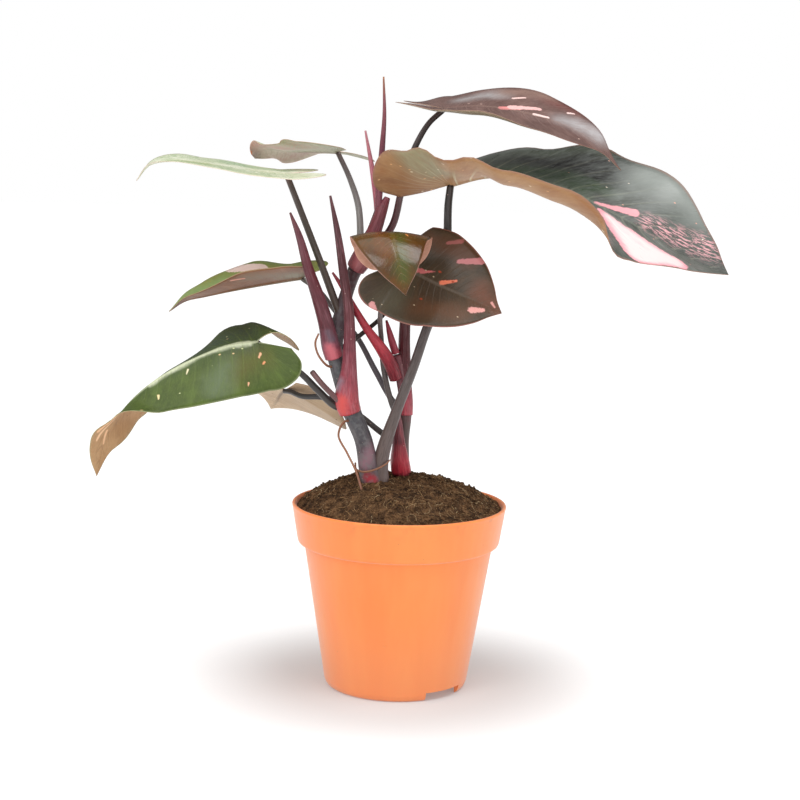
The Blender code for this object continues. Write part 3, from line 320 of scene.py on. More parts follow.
# The lower faces, in the same way.
UNDERSIDES = {
    "leaf_big_right": dict(
        tones=("a2744f", "ae865e", "8f664a", "bf9874"), veins=("c9be9b", 0.25, 0.75), rib=("b79a7a", 0.5),
        zones=[(-0.02, -0.45, -0.06, -0.9, 11, 14, 10, "9c9474"),
            (-0.1, 0.1, -0.12, 0.6, 10, 14, 8, "8a6a5e"), (0.5, -0.3, 0.9, -0.4, 12, 14, 14, "b49c88")],
        marks=[(-0.11, 0.26, -0.15, 0.36, 5, 4, 0.6, "da8373")],
        specks=[(3.4, 0.2, 0.16, "e3b27f"), (5, 0.14, 0.2, "efe0c0")]),
    "leaf_top_right": dict(
        tones=("b9a489", "a88f76", "c7b59b", "d3c3aa"), veins=("8d7460", 0.2, 0.4), rib=("8a6a58", 0.6),
        zones=[(0.3, -0.2, 0.95, -0.2, 9, 10, 10, "7b5b4b"), (0.3, 0.2, 0.95, 0.2, 9, 10, 10, "8a6a58")]),
    "leaf_high_left": dict(
        tones=("dcdcc6", "cfd2b4", "e6e2d2", "c2c6a8"), veins=("b9bd9c", 0.3, 0.4), rib=("6a4a40", 0.8)),
    "leaf_high_back": dict(
        tones=("b9b79f", "a8a68c", "cdc8b2", "8f8c74"), veins=("8c8a72", 0.35, 0.7), rib=("8a7464", 0.7),
        zones=[(0.55, 0.5, 0.95, 0.3, 10, 9, 10, "b08f80"), (0.55, -0.5, 0.95, -0.3, 10, 9, 10, "a3887a"),
            (0.93, 0.5, 1, 0, 4, 4, 5, "5e4338")],
        mottles=[(0.1, 0.6, 0.8, 0.6, 12, 12, 6, "c99a86")],
        marks=[(0.93, 0.3, 0.96, 0.22, 1.2, 0.8, 0.5, "c9713a")]),
    "leaf_middle_left": dict(
        tones=("875a3e", "765038", "9c6e52", "b07e62"), veins=("7d5a45", 0.25, 0.5), rib=("8f8468", 0.6),
        zones=[(-0.02, 0.2, 0.12, 0.4, 6, 7, 7, "8c8870"), (0.18, 0.5, 0.4, 0.6, 6, 7, 7, "83705c"),
            (0.92, 0.1, 1, 0, 5, 4, 5, "6a4436")],
        marks=[(0.52, 0.6, 0.43, 0.55, 1.3, 0.9, 0.5, "e09b88")]),
    "leaf_low_left": dict(
        tones=("ad8a63", "b99770", "9c7a58", "c7a883"), veins=("8a6a4c", 0.25, 0.5), rib=("9a7a5c", 0.5),
        marks=[(0.645, 0.42, 0.8, 0.28, 1.8, 1.4, 0.5, "e8bc92"),
            (0.73, 0.2, 0.84, 0.16, 1.1, 0.9, 0.5, "eac39c"),
            (0.79, 0.06, 0.85, -0.02, 0.9, 0.7, 0.5, "e8be96")],
        specks=[(5.5, 0.1, 0.15, "8a6a4c")]),
    "leaf_low_back": dict(
        tones=("c7ae8f", "b79c7d", "d3bc9f", "a88e70"), veins=("6f5a46", 0.35, 0.8), rib=("5c4a3c", 0.6),
        zones=[(0.02, 0.25, 0.2, 0.4, 6, 7, 8, "ab947a")],
        specks=[(6, 0.12, 0.12, "8a6a50")]),
    "leaf_folded_front": dict(
        tones=("b98a74", "a87862", "c79a85", "d3a996"), veins=("9a6a55", 0.2, 0.4), rib=("9a6a55", 0.5)),
    "leaf_round": dict(
        tones=("9a7a66", "8a6c58", "a88874", "b59682"), veins=("7d5f4d", 0.2, 0.4), rib=("7d5f4d", 0.5)),
}

# Colours along each leaf's stalk, from 0 at its base to 1 at the blade, and those of the rims.
STALK_TONES = {
    "leaf_big_right": [(0, "6a5650"), (0.3, "5c504d"), (0.62, "443b39"), (0.8, "2f2b2a"), (1, "2b2827")],
    "leaf_top_right": [(0, "6b3038"), (0.35, "5a3a3c"), (0.7, "3f3433"), (1, "4a3632")],
    "leaf_high_left": [(0, "57473f"), (0.5, "4a4239"), (0.9, "473a33"), (1, "5a4038")],
    "leaf_high_back": [(0, "8a8280"), (0.5, "7d7876"), (0.85, "605654"), (1, "54423e")],
    "leaf_middle_left": [(0, "6a6268"), (0.5, "5e595e"), (0.9, "5a534f"), (1, "6b645a")],
    "leaf_low_left": [(0, "3f3835"), (0.5, "3a3836"), (0.9, "302e2d"), (1, "2c2c2a")],
    "leaf_low_back": [(0, "5b5350"), (0.5, "57504e"), (0.8, "3f4244"), (1, "3a3a38")],
    "leaf_folded_front": [(0, "5b5350"), (0.5, "6a605e"), (1, "9a8480")],
    "leaf_round": [(0, "2f2624"), (1, "2a2320")],
}
RIMS = {
    "leaf_big_right": "a3796a", "leaf_top_right": "8a4f4a", "leaf_high_left": "e2b7ae",
    "leaf_high_back": "c98f7a", "leaf_middle_left": "c9b58f", "leaf_low_left": "a8b184",
    "leaf_low_back": "d9b394", "leaf_folded_front": "e0a592", "leaf_round": "c98479",
}

# Colours along the sheaths and over their stripes, and marks in millimetres in the frame.
SHEATH_LOOKS = {
    "sheath_left": dict(stops=[(0, "a24e5a"), (0.1, "784452"), (0.22, "5c2630"), (0.6, "581c26"),
        (0.85, "683640"), (1, "7c484e")], streaky="94626c",
        marks=[(-44, -9, 217, -47, -11, 223, 4, 3, 3, "c4626c"),
        (-46, -10, 229, -48, -12, 234, 2.5, 1.5, 2, "57505c")]),
    "sheath_middle": dict(stops=[(0, "b43e46"), (0.06, "b6464e"), (0.15, "98404c"), (0.3, "74303c"),
        (0.5, "562428"), (0.8, "4a262c"), (1, "62383e")], streaky="ac767e",
        marks=[(-39, -14, 183, -38, -15, 190, 4, 3, 3, "d04c48"),
        (-41, -12, 198, -39, -13, 202, 2.5, 2, 3, "8d7884")]),
    "sheath_right": dict(stops=[(0, "741c28"), (0.15, "7f2430"), (0.3, "b02c3c"), (0.6, "a83442"),
        (1, "8a3a44")], streaky="c8545e"),
    "sheath_upper": dict(stops=[(0, "8a4248"), (0.2, "743238"), (0.6, "6f2c36"), (1, "7a3a44")],
        streaky="a0606a", marks=[(-31, -8, 276, -27, -9, 282, 3, 2, 3, "9c5a5c")]),
    "sheath_top": dict(stops=[(0, "8a3a48"), (0.4, "b86070"), (1, "c07a84")], streaky="e0a0a8"),
    "new_leaf_spear": dict(stops=[(0, "7a3c48"), (0.5, "6f3040"), (0.82, "8a4a50"), (1, "a8704c")],
        streaky="9c6470"),
    "sheath_upright": dict(stops=[(0, "c4525e"), (0.12, "a84654"), (0.3, "56161e"), (0.8, "4a141a"),
        (1, "5e262e")], streaky="8c686c"),
    "sheath_small": dict(stops=[(0, "a03040"), (1, "8f3040")], streaky="c86070"),
    "sheath_low": dict(stops=[(0, "5e121e"), (0.06, "be3242"), (0.25, "ac2a3a"), (0.5, "6a1c2a"),
        (1, "8f646a")], streaky="c86064"),
}

# Stems, aerial roots and the stub of a cut stalk, as (x, y, z, radius).
STEM_LEFT = [(-15, -10, 98, 7.5), (-16, -10, 124, 7.5), (-20, -9, 144, 6.6), (-24, -7, 163, 5.8),
    (-32, -5, 181, 5.9), (-37, -4, 195, 5.4), (-42, -3, 211, 5), (-44, -2, 221, 5.4),
    (-43, -2, 232, 5.2), (-40, -1, 243, 5), (-38, 0, 253, 4.4), (-35, 1, 263, 4.2),
    (-31, 1, 274, 4.6), (-26, 1, 284, 4.6), (-21, 1, 297, 4), (-17, 1, 310, 3.2)]
STEM_RIGHT = [(0, 8, 94, 5.2), (0, 8, 121, 5.2), (1, 8, 141, 5.2), (2, 8, 161, 3.6),
    (3, 8, 180, 3.7), (1, 8, 193, 3.5), (-1, 8, 204, 3.5), (-4, 7, 217, 3.2)]
ROOTS = {
    "root_to_soil": [(-32, -8, 176, 0.8), (-37, -12, 175, 0.8), (-40, -14, 167, 0.7),
        (-34, -18, 156, 0.7), (-28, -22, 145, 0.7), (-24, -28, 134, 0.7)],
    "root_curled": [(-43, -4, 210, 0.8), (-48, -8, 211, 0.8), (-54, -9, 218, 0.7),
        (-56, -10, 226, 0.7), (-54, -10, 232, 0.6)],
    "root_round_base": [(-29, -8, 148, 0.6), (-28, -14, 145, 0.6), (-23, -17.2, 144, 0.65),
        (-15, -16.6, 146, 0.6), (-9, -14.4, 149, 0.5), (-6.5, -10, 151, 0.4)],
}
CUT_STALK = [(-32, -6, 180, 1.9), (-42, -11, 190.5, 1.9), (-51, -12, 199.5, 1.8), (-58, -13, 208, 1.8)]

# The stems' looks: their paths, the heights of their nodes, the sides of their sections, and the
# colours along them with the marks over them.
STEM_LOOKS = {
    "stem_left": (STEM_LEFT, (180.5, 219, 272), 40, dict(
        stops=[(0, "4a3c3a"), (0.15, "5b484a"), (0.22, "5d4a50"), (0.3, "4b474b"), (0.37, "4d4d52"),
            (0.5, "515658"), (0.58, "544c52"), (0.8, "55363a")],
        streaky="7b7478", stripes=1.2, rough=0.46, bloom="70706f", specks=0.14,
        marks=[(-21, -17, 141, -17, -17, 138, 3.5, 3.5, 2.5, "a22c38"),
            (-23, -14, 149, -16, -13, 160, 4, 4, 4, "85626c")])),
    "stem_right": (STEM_RIGHT, (141, 179), 32, dict(
        stops=[(0, "7a2c38"), (0.25, "9a3a44"), (0.38, "a03c48"), (0.44, "6a4a4c"), (0.6, "5f504c"),
            (0.75, "6e4248"), (1, "7a3a44")],
        streaky="8a7a78", stripes=1.6, rough=0.42,
        marks=[(-2, 4, 140, 4, 4, 140, 3, 3, 2.5, "b03444")])),
}

# Colours along the cut stalk and the roots, of the peat from its hollows up, and of the fibres.
CUT_STALK_TONES = [(0, "8a5a5c"), (0.5, "6b4a4a"), (0.93, "6e4c4a"), (1, "3a2620")]
ROOT_TONES = [(0, "7a4a33"), (0.5, "9a6a50"), (1, "8b5a48")]
PEAT_TONES = [(0.34, "1f150d"), (0.46, "46311f"), (0.55, "6e5136"), (0.68, "967150")]
FIBRE_TONES = [(0, "9a7852"), (0.4, "b8946a"), (0.7, "7a5638"), (1, "d6ba90")]
ROOT_LENGTH = 50.0
GOLDEN_SHARE = 0.6180339

# The pot and its soil, in millimetres and degrees.
RIM_RADIUS = 70.0
POT_HEIGHT = 121.0
RIM_BAND = 26.0
BAND_LOWER_RADIUS = 65.8
BODY_TOP_RADIUS = 61.5
BASE_RADIUS = 46.5
WALL = 1.3
BASE_LIFT = 6.0
MIDDLE_FOOT = 12.0
NOTCH_HEIGHT = 5.6
NOTCH_SPAN = 36.0
NOTCH_ANGLES = (-47.0, 133.0)
BEAD = 1.1
DRAIN_RADIUS = 4.0
DRAIN_RING = 31.0
DRAINS = 6
POT_SIDES = 192
GATE_ANGLE = -98.0
GATE_HEIGHT = 39.0
SOIL_EDGE = 118.0
SOIL_HEAP = 19.0
SOIL_MIDDLE = (-10.0, 4.0)
SOIL_RINGS = 84
SOIL_SPOKES = 360
CRUMBS = 3200
FIBRES = 560
WHITE_GRAIN = (53.0, 13.0)


def smooth_curve(points, places):
    """Points of a smooth curve through the given ones, at places from 0 to 1 along it."""
    given = np.asarray(points, float)
    steps = np.sqrt(np.linalg.norm(np.diff(given, axis=0), axis=1))
    knots = np.concatenate([[0], np.cumsum(steps)])
    knots /= knots[-1]
    widths = np.diff(knots)[:, None]
    rises = np.diff(given, axis=0) / widths
    inner = (rises[:-1] * widths[1:] + rises[1:] * widths[:-1]) / (widths[1:] + widths[:-1])
    slopes = np.concatenate([rises[:1], inner, rises[-1:]])
    places = np.clip(places, 0, 1)
    i = np.clip(np.searchsorted(knots, places, side="right") - 1, 0, len(given) - 2)
    span = widths[i]
    w = (places - knots[i])[..., None] / span
    return ((2 * w**3 - 3 * w**2 + 1) * given[i] + (w**3 - 2 * w**2 + w) * span * slopes[i]
            + (3 * w**2 - 2 * w**3) * given[i + 1] + (w**3 - w**2) * span * slopes[i + 1])


def reach_along(line):
    """How far along a line of points each of them lies."""
    return np.concatenate([[0], np.cumsum(np.linalg.norm(np.diff(line, axis=0), axis=1))])


def path_length(path, steps=200):
    return float(reach_along(smooth_curve(path, np.linspace(0, 1, steps))[:, :3])[-1])


def along_at(path, height):
    """How far along a rising path it reaches a height."""
    line = smooth_curve(path, np.linspace(0, 1, 400))[:, :3]
    return float(reach_along(line)[int(np.argmin(np.abs(line[:, 2] - height)))])


def unit(vectors):
    return vectors / np.maximum(np.linalg.norm(vectors, axis=-1, keepdims=True), 1e-9)


def station_values(table, places):
    """Values of a table of (station, value) rows at places along the midrib."""
    stations = np.array([row[0] for row in table], float)
    values = np.array([np.atleast_1d(row[1]) for row in table], float)
    if len(table) == 1:
        return np.broadcast_to(values[0], places.shape + values[0].shape)
    i = np.clip(np.searchsorted(stations, places, side="right") - 1, 0, len(table) - 2)
    w = np.clip((places - stations[i]) / (stations[i + 1] - stations[i]), 0, 1)
    if len(table) > 2:
        w = w * w * (3 - 2 * w)
    return values[i] * (1 - w[..., None]) + values[i + 1] * w[..., None]


def along_midrib(leaf, places, back, bend):
    """Points and forward ways along a leaf's midrib, and behind it along a bent lobe."""
    line = smooth_curve(leaf["midrib"], np.linspace(0, 1, 401))
    reach = reach_along(line)
    ways = unit(np.gradient(line, axis=0))
    ahead = np.clip(places, 0, 1) * reach[-1]
    points = np.stack([np.interp(ahead, reach, line[:, k]) for k in range(3)], -1)
    forward = unit(np.stack([np.interp(ahead, reach, ways[:, k]) for k in range(3)], -1))
    behind = np.minimum(places, 0)[..., None]
    return points - behind * reach[-1] * back + behind**2 * bend, forward


def blade_points(leaf, side, along, out):
    """Points of a half blade at its flat places: along the midrib, and out from it."""
    back = unit(np.asarray(leaf[side + "_back"], float))
    points, forward = along_midrib(leaf, along, back, np.asarray(leaf.get(side + "_bend", (0, 0, 0))))
    way = unit(station_values(leaf[side], along))
    way = unit(way - (way * forward).sum(-1, keepdims=True) * forward)
    upper = np.cross(forward, way) * (1 if side == "left" else -1)
    curl = station_values(leaf.get(side + "_curl", [(0, 0)]), along)
    curl = np.where(np.abs(curl) < 1e-3, 1e-3, curl)
    turn = curl * out[..., None]
    return points + leaf["width"] * (way * np.sin(turn) + upper * (1 - np.cos(turn))) / curl


def blade_grid(leaf, side):
    """A half blade's points, side veins, shares and flat places, one row for each side vein."""
    first = round(LOBE_VEINS * VEIN_STEPS)
    steps = np.concatenate([np.linspace(0, LOBE_VEINS, first + 1),
                            np.linspace(LOBE_VEINS, 1, VEIN_STEPS - first + 1)[1:]])
    shares = np.linspace(0, 1, RIB_STEPS + 1) ** 1.4
    vein, share = np.meshgrid(steps, shares, indexing="ij")
    edge = smooth_curve(leaf[side + "_edge"], vein)
    start = np.clip((vein - LOBE_VEINS) / (1 - LOBE_VEINS), 0, 1) ** 1.15
    along = start + (edge[..., 0] - start) * share**VEIN_SWEEP
    out = np.maximum(edge[..., 1], 0) * share
    return blade_points(leaf, side, along, out), vein, share, along, out, first


def add_mesh(name, points, faces, slot, *materials):
    mesh = bpy.data.meshes.new(name)
    mesh.from_pydata([tuple(float(v) * MM for v in p) for p in points], [], faces)
    for material in materials:
        mesh.materials.append(material)
    thing = bpy.data.objects.new(name, mesh)
    bpy.context.scene.collection.objects.link(thing)
    mesh.shade_smooth()
    return thing


def settle(thing, *nodes):
    """Rides a finished piece on the plant's body in place of solids."""
    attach(thing, "root")
    if nodes:
        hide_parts(*nodes)


def store(thing, name, vectors):
    """Keeps a vector for each point, for the materials to read."""
    layer = thing.data.attributes.new(name, "FLOAT_VECTOR", "POINT")
    layer.data.foreach_set("vector", np.asarray(vectors, np.float32).ravel())


def blade_mesh(leaf):
    """Points and faces of a blade's middle, with each point's side vein and flat place."""
    points, faces, veins, flats = [], [], [], []
    index = {}
    for side, sign in (("left", 1), ("right", -1)):
        grid, vein, share, along, out, first = blade_grid(leaf, side)

        def place(i, j):
            middle = j == 0 or i == VEIN_STEPS
            key = ("midrib", max(i, first)) if middle else (side, i, j)
            if key not in index:
                at = (key[1], 0) if middle else (i, j)
                index[key] = len(points)
                points.append(grid[at])
                veins.append((vein[at], share[at], sign))
                flats.append((along[at], out[at] * sign, 0))
            return index[key]

        for i in range(VEIN_STEPS):
            for j in range(RIB_STEPS):
                a, b, c, d = place(i, j), place(i + 1, j), place(i + 1, j + 1), place(i, j + 1)
                for corners in ((a, b, c), (a, c, d)):
                    if len(set(corners)) == 3:
                        faces.append(corners if side == "left" else corners[::-1])
    return np.array(points), faces, np.array(veins), np.array(flats)


def point_normals(points, faces):
    a, b, c = np.array(faces).T
    across = np.cross(points[b] - points[a], points[c] - points[a])
    normals = np.zeros_like(points)
    for corner in (a, b, c):
        np.add.at(normals, corner, across)
    return unit(normals)


def make_blade(name, leaf, skins):
    """A blade between its two faces, thick at the midrib and thin at its rim."""
    middle, faces, veins, flats = blade_mesh(leaf)
    normals = point_normals(middle, faces)
    count = len(middle)
    share, off = veins[:, 1:2], np.abs(flats[:, 1:2]) * leaf["width"]
    ahead = np.clip(flats[:, 0:1], 0, 1)
    half = RIM_BLADE / 2 + (BLADE - RIM_BLADE) / 2 * np.sqrt(np.clip(1 - share**6, 0, 1))
    rib = MIDRIB_DEPTH * (1 - ahead) ** 0.7 * np.exp(-((off / 1.3) ** 2)) * (flats[:, 0:1] >= 0)
    groove = 0.3 * (1 - ahead) * np.exp(-((off / 0.9) ** 2))
    edges = {(a, b) for face in faces for a, b in zip(face, face[1:] + face[:1])}
    walls = [(b, a, a + count, b + count) for a, b in sorted(edges) if (b, a) not in edges]
    back = [(c + count, b + count, a + count) for a, b, c in faces]
    points = np.concatenate([middle + normals * (half - groove), middle - normals * (half + rib)])
    blade = add_mesh(name, points, faces + back + walls, leaf["slot"], *skins)
    kinds = [0] * len(faces) + [1] * len(back) + [2] * len(walls)
    blade.data.polygons.foreach_set("material_index", kinds)
    store(blade, "veins", np.tile(veins, (2, 1)))
    store(blade, "flat", np.tile(flats, (2, 1)))
    return blade, normals[0]


def rod_mesh(path, sides, rings, section=None):
    """Points and faces of a rod along a path, with its place along and round on each point."""
    rows = smooth_curve(path, np.linspace(0, 1, rings))
    places, radii = rows[:, :3], rows[:, 3]
    ways = unit(np.gradient(places, axis=0))
    reach = reach_along(places)
    across = unit(np.cross(ways[0], (0.31, 0.95, 0.07)))
    points, marks = [], []
    for i in range(rings):
        across = unit(across - ways[i] * np.dot(across, ways[i]))
        other = np.cross(ways[i], across)
        for turn in np.arange(sides) * 2 * pi / sides:
            radius = radii[i] * (section(turn, reach[i], reach[-1]) if section else 1)
            points.append(places[i] + radius * (cos(turn) * across + sin(turn) * other))
            marks.append((reach[i], cos(turn), sin(turn)))
    faces = [tuple(range(sides)), tuple(reversed(range(len(points) - sides, len(points))))]
    for a in range(len(points) - sides):
        b = a + 1 if (a + 1) % sides else a + 1 - sides
        faces.append((a, a + sides, b + sides, b))
    return points, faces, marks


def make_rod(name, path, material, slot, sides=20, section=None):
    points, faces, marks = rod_mesh(path, sides, 10 * len(path), section)
    rod = add_mesh(name, points, faces, slot, material)
    store(rod, "rod", marks)
    shape = bmesh.new()
    shape.from_mesh(rod.data)
    if shape.calc_volume(signed=True) < 0:
        bmesh.ops.reverse_faces(shape, faces=shape.faces)
    shape.to_mesh(rod.data)
    shape.free()
    return rod


def srgb(code):
    """A colour for the nodes from its six hexadecimal digits."""
    parts = [int(code[i:i + 2], 16) / 255 for i in (0, 2, 4)]
    return tuple(c / 12.92 if c < 0.04045 else ((c + 0.055) / 1.055) ** 2.4 for c in parts) + (1,)


class Nodes:
    """The nodes of a material or of the studio's walls."""

    def __init__(self, tree):
        self.tree = tree

    def feed(self, socket, value):
        if isinstance(value, Field):
            self.tree.links.new(value.socket, socket)
        else:
            socket.default_value = value

    def add(self, kind, values=(), output=0, **settings):
        """A new node's output, with values for its inputs by their place or by their name."""
        node = self.tree.nodes.new("ShaderNode" + kind)
        for key, value in settings.items():
            setattr(node, key, value)
        pairs = values.items() if isinstance(values, dict) else enumerate(values)
        for key, value in pairs:
            self.feed(node.inputs[key], value)
        return Field(self, node.outputs[output])

    def place(self):
        """The place in millimetres in the frame of the solids."""
        return self.add("TexCoord", output=3) * ((1 / MM,) * 3)

    def attribute(self, name):
        return self.add("Attribute", output=1, attribute_name=name)


class Field:
    """A number, place or colour that changes over a surface; arithmetic on it adds nodes."""

    def __init__(self, nodes, socket):
        self.nodes = nodes
        self.socket = socket

    def math(self, operation, *others):
        return self.nodes.add("Math", (self, *others), operation=operation)

    def vector(self, operation, *others, output=0):
        return self.nodes.add("VectorMath", (self, *others), output, operation=operation)

    def __add__(self, other):
        return self.math("ADD", other)

    def __sub__(self, other):
        return self.math("SUBTRACT", other)

    def __mul__(self, other):
        return (self.vector if isinstance(other, tuple) else self.math)("MULTIPLY", other)

    def __abs__(self):
        return self.math("ABSOLUTE")

    def parts(self):
        outputs = self.nodes.add("SeparateXYZ", (self,)).socket.node.outputs
        return [Field(self.nodes, output) for output in outputs]

    def noise(self, scale=1.0, detail=3.0, roughness=0.55):
        values = {"Vector": self, "Scale": scale, "Detail": detail, "Roughness": roughness}
        return self.nodes.add("TexNoise", values)

    def between(self, low, high):
        """0 at the low value and 1 at the high one, with a soft start and end."""
        return self.nodes.add("MapRange", (self, low, high, 0.0, 1.0), interpolation_type="SMOOTHSTEP")

    def blend(self, first, second):
        """The first colour where this is 0 and the second where it is 1."""
        return self.nodes.add("Mix", {0: self, 6: first, 7: second}, 2, data_type="RGBA")

    def tinted(self, code, share):
        """This colour with a share of another over it."""
        return share.blend(self, srgb(code))

    def ramp(self, stops):
        field = self.nodes.add("ValToRGB", (self,))
        elements = field.socket.node.color_ramp.elements
        while len(elements) < len(stops):
            elements.new(0.5)
        for element, (place, code) in zip(elements, stops):
            element.position = place
            element.color = srgb(code)
        return field

    def marked(self, place, rows, wobble, scale=(1, 1, 1), speckled=None):
        """This colour with tapered streaks of others over it; hard ones have ragged edges. A row
        gives the two ends, the radius at each, the softness of the edge and the colour."""
        colour = self
        for *ends, first, last, soft, code in rows:
            half = len(ends) // 2
            start = Vector([a * b for a, b in zip(ends[:half], scale)]).to_3d()
            along = Vector([a * b for a, b in zip(ends[half:], scale)]).to_3d() - start
            off = place.vector("SUBTRACT", start)
            share = off.vector("DOT_PRODUCT", along / along.length_squared, output=1)
            share = self.nodes.add("Clamp", (share,))
            nearest = self.nodes.add("VectorMath", {0: along, 3: share}, operation="SCALE")
            away = off.vector("DISTANCE", nearest, output=1) - (share * (last - first) + first)
            away = wobble * min(4.0, 0.7 * max(first, last) + 0.4) + away
            share = away.between(soft, -soft)
            colour = colour.tinted(code, share * speckled if speckled else share)
        return colour

    def specks(self, spacing, size, share):
        """Small spots in some of the cells of an uneven grid over this place."""
        distance = self.nodes.add("TexVoronoi", {"Vector": self, "Scale": 1 / spacing})
        cell = Field(self.nodes, distance.socket.node.outputs["Color"])
        chosen = cell.parts()[0].math("GREATER_THAN", 1 - share)
        return chosen * distance.between(size, 0.4 * size)


class Paint(Nodes):
    """The nodes of one material, round its shader."""

    def __init__(self, name, roughness=0.4, coat=0.0, specular=0.5):
        self.material = bpy.data.materials.new(name)
        self.material.use_nodes = True
        super().__init__(self.material.node_tree)
        self.shader = self.tree.nodes["Principled BSDF"]
        self.put("Roughness", roughness)
        self.put("Coat Weight", coat)
        self.put("Coat Roughness", 0.12)
        self.put("Specular IOR Level", specular)

    def put(self, name, value):
        self.feed(self.shader.inputs[name], value)

    def finish(self, colour, height=None, roughness=None):
        self.put("Base Color", colour)
        if roughness:
            self.put("Roughness", roughness)
        if height:
            self.put("Normal", self.add("Bump", {"Height": height, "Strength": 1.0, "Distance": MM}))
        return self.material


def leaf_ground(look, veins, place, size, broad, thin):
    """A leaf's ground colours: clouds, zones, a few of which are painted sheen and highlight, and
    streaks along the side veins.
    """
    ground, cloudy, streaky, hairy = look["tones"]
    cloud = place.noise(0.045)
    hair = (veins * (330, 14, 5)).noise(detail=2)
    colour = cloud.between(0.35, 0.62).blend(srgb(ground), srgb(cloudy))
    colour = colour.tinted(streaky, broad.between(0.48, 0.72) * 0.75)
    colour = colour.marked(place, look.get("zones", ()), (cloud - 0.5) * 4.0, size)
    colour = colour.tinted(streaky, thin.between(0.35, 0.7) * 0.3)
    return colour.tinted(hairy, hair.between(0.45, 0.75) * 0.22)


def leaf_marks(colour, look, flat, veins, place, size, thin):
    """A leaf's colour with its mottles, marks and specks over it."""
    ragged = (veins * (120, 12, 5)).noise(detail=2) - 0.5
    tangled = (flat * (26, 60, 0)).noise(detail=4, roughness=0.65)
    mottle = tangled.between(0.49, 0.56) * thin.between(0.3, 0.42)
    colour = colour.marked(place, look.get("mottles", ()), ragged, size, mottle)
    colour = colour.marked(place, look.get("marks", ()), ragged, size)
    for spacing, spot, chosen, code in look.get("specks", ()):
        colour = colour.tinted(code, (place * (0.6, 1, 1)).specks(spacing, spot, chosen))
    return colour


def leaf_skin(name, leaf, look, rim, upper):
    """One face of a leaf: ground colours, side veins, marks, midrib, rim and relief."""
    rough = look.get("rough", 0.36 if upper else 0.5)
    paint = Paint(name, rough, look.get("coat", 0.0), 0.28 if upper else 0.25)
    flat = paint.attribute("flat")
    veins = paint.attribute("veins")
    size = (path_length(leaf["midrib"], 101), leaf["width"], 0)
    place = flat * size
    vein, share, _ = veins.parts()
    broad = (veins * (16, 1.6, 5)).noise(detail=4)
    thin = (veins * (95, 5, 5)).noise(detail=4)
    colour = leaf_ground(look, veins, place, size, broad, thin)
    line = (vein * SIDE_VEINS).math("PINGPONG", 0.5).between(0.11, 0.02) * share.between(1.0, 0.15)
    code, far, near = look["veins"]
    nearness = place.vector("LENGTH", output=1).between(0.35 * size[0], 0.03 * size[0])
    colour = colour.tinted(code, line * (nearness * (near - far) + far))
    colour = leaf_marks(colour, look, flat, veins, place, size, thin)
    code, strength = look["rib"]
    rib = abs(place.parts()[1]).between(1.6, 0.5) * flat.parts()[0].between(1.0, 0.3)
    colour = colour.tinted(code, rib * strength)
    colour = colour.tinted(rim, share.between(0.965, 0.995) * 0.45)
    relief = thin * 0.1 + place.noise(1.6, 2) * 0.05 + line * (-0.1 if upper else 0.16) + broad * 0.35
    return paint.finish(colour, relief, thin * 0.16 + (rough - 0.08))


def rod_skin(name, length, stops, streaky="8a7f80", amount=0.25, marks=(), rings=(), stripes=3.0,
             rough=0.38, relief=0.2, coat=0.0, bloom=None, specks=0.03):
    """A stalk, stem or sheath: colours along it, stripes lengthwise, marks, rings and bloom."""
    paint = Paint(name, rough, coat, 0.35)
    rod = paint.attribute("rod")
    along = rod.parts()[0]
    place = paint.place()
    broad = (rod * (0.025, 1, 1)).noise(stripes)
    fine = (rod * (0.025, 1, 1)).noise(4 * stripes)
    patchy = place.noise(0.22, 4)
    ragged = place.noise(0.9) - 0.5
    colour = (along * (1 / length) + (patchy - 0.5) * 0.16).ramp(stops)
    colour = colour.tinted(streaky, broad.between(0.45, 0.7) * amount)
    colour = colour.tinted("2a1c1c", fine.between(0.55, 0.3) * 0.35)
    colour = colour.marked(place, marks, ragged)
    if bloom:
        colour = colour.tinted(bloom, place.noise(0.35, 5).between(0.42, 0.66) * 0.45)
    colour = colour.tinted("b09488", place.specks(2.2, 0.2, specks))
    height = broad * relief + fine * (0.4 * relief)
    for ring in rings:
        line = (ragged * 0.8 + abs(along - ring)).between(0.75, 0.3)
        colour = colour.tinted("33201f", line * 0.7)
        height = height - line * 0.3
    return paint.finish(colour, height, patchy * 0.2 + (rough - 0.1))


def sunk_stalk(leaf, upper):
    """A leaf's stalk with its end moved down so far that it doesn't show above the blade."""
    path = np.array(leaf["stalk"], float)
    way = unit(path[-1, :3] - path[-2, :3])
    lying = sqrt(max(0.0, 1 - np.dot(way, upper) ** 2))
    path[-1, :3] = np.array(leaf["midrib"][0]) - upper * path[-1, 3] * 0.8 * lying
    return path


def make_leaf(name, leaf):
    rim = Paint(name + "_rim", 0.45)
    speckle = rim.attribute("veins").noise(60.0)
    tones = srgb(RIMS[name]), srgb(UNDERSIDES[name]["tones"][0])
    skins = (leaf_skin(name + "_top", leaf, TOPS[name], RIMS[name], True),
             leaf_skin(name + "_under", leaf, UNDERSIDES[name], RIMS[name], False),
             rim.finish(speckle.blend(*tones)))
    blade, upper = make_blade(name + "_blade", leaf, skins)
    stalk = sunk_stalk(leaf, upper)
    skin = rod_skin(name + "_stalk", path_length(stalk), STALK_TONES[name], amount=0.2, stripes=1.6,
                    rough=0.34, relief=0.08, coat=0.2)
    settle(blade, name)
    settle(make_rod(name + "_stalk", stalk, skin, "stem"))


def ridged(turn, reach, total):
    """Low lengthwise ridges with a wing on either side of a sheath."""
    wings = 0.10 * cos(2 * turn + 0.6) * min(1.0, 3 * reach / total)
    return 1 + wings + 0.022 * sin(9 * turn + 1.5 * sin(3 * turn))


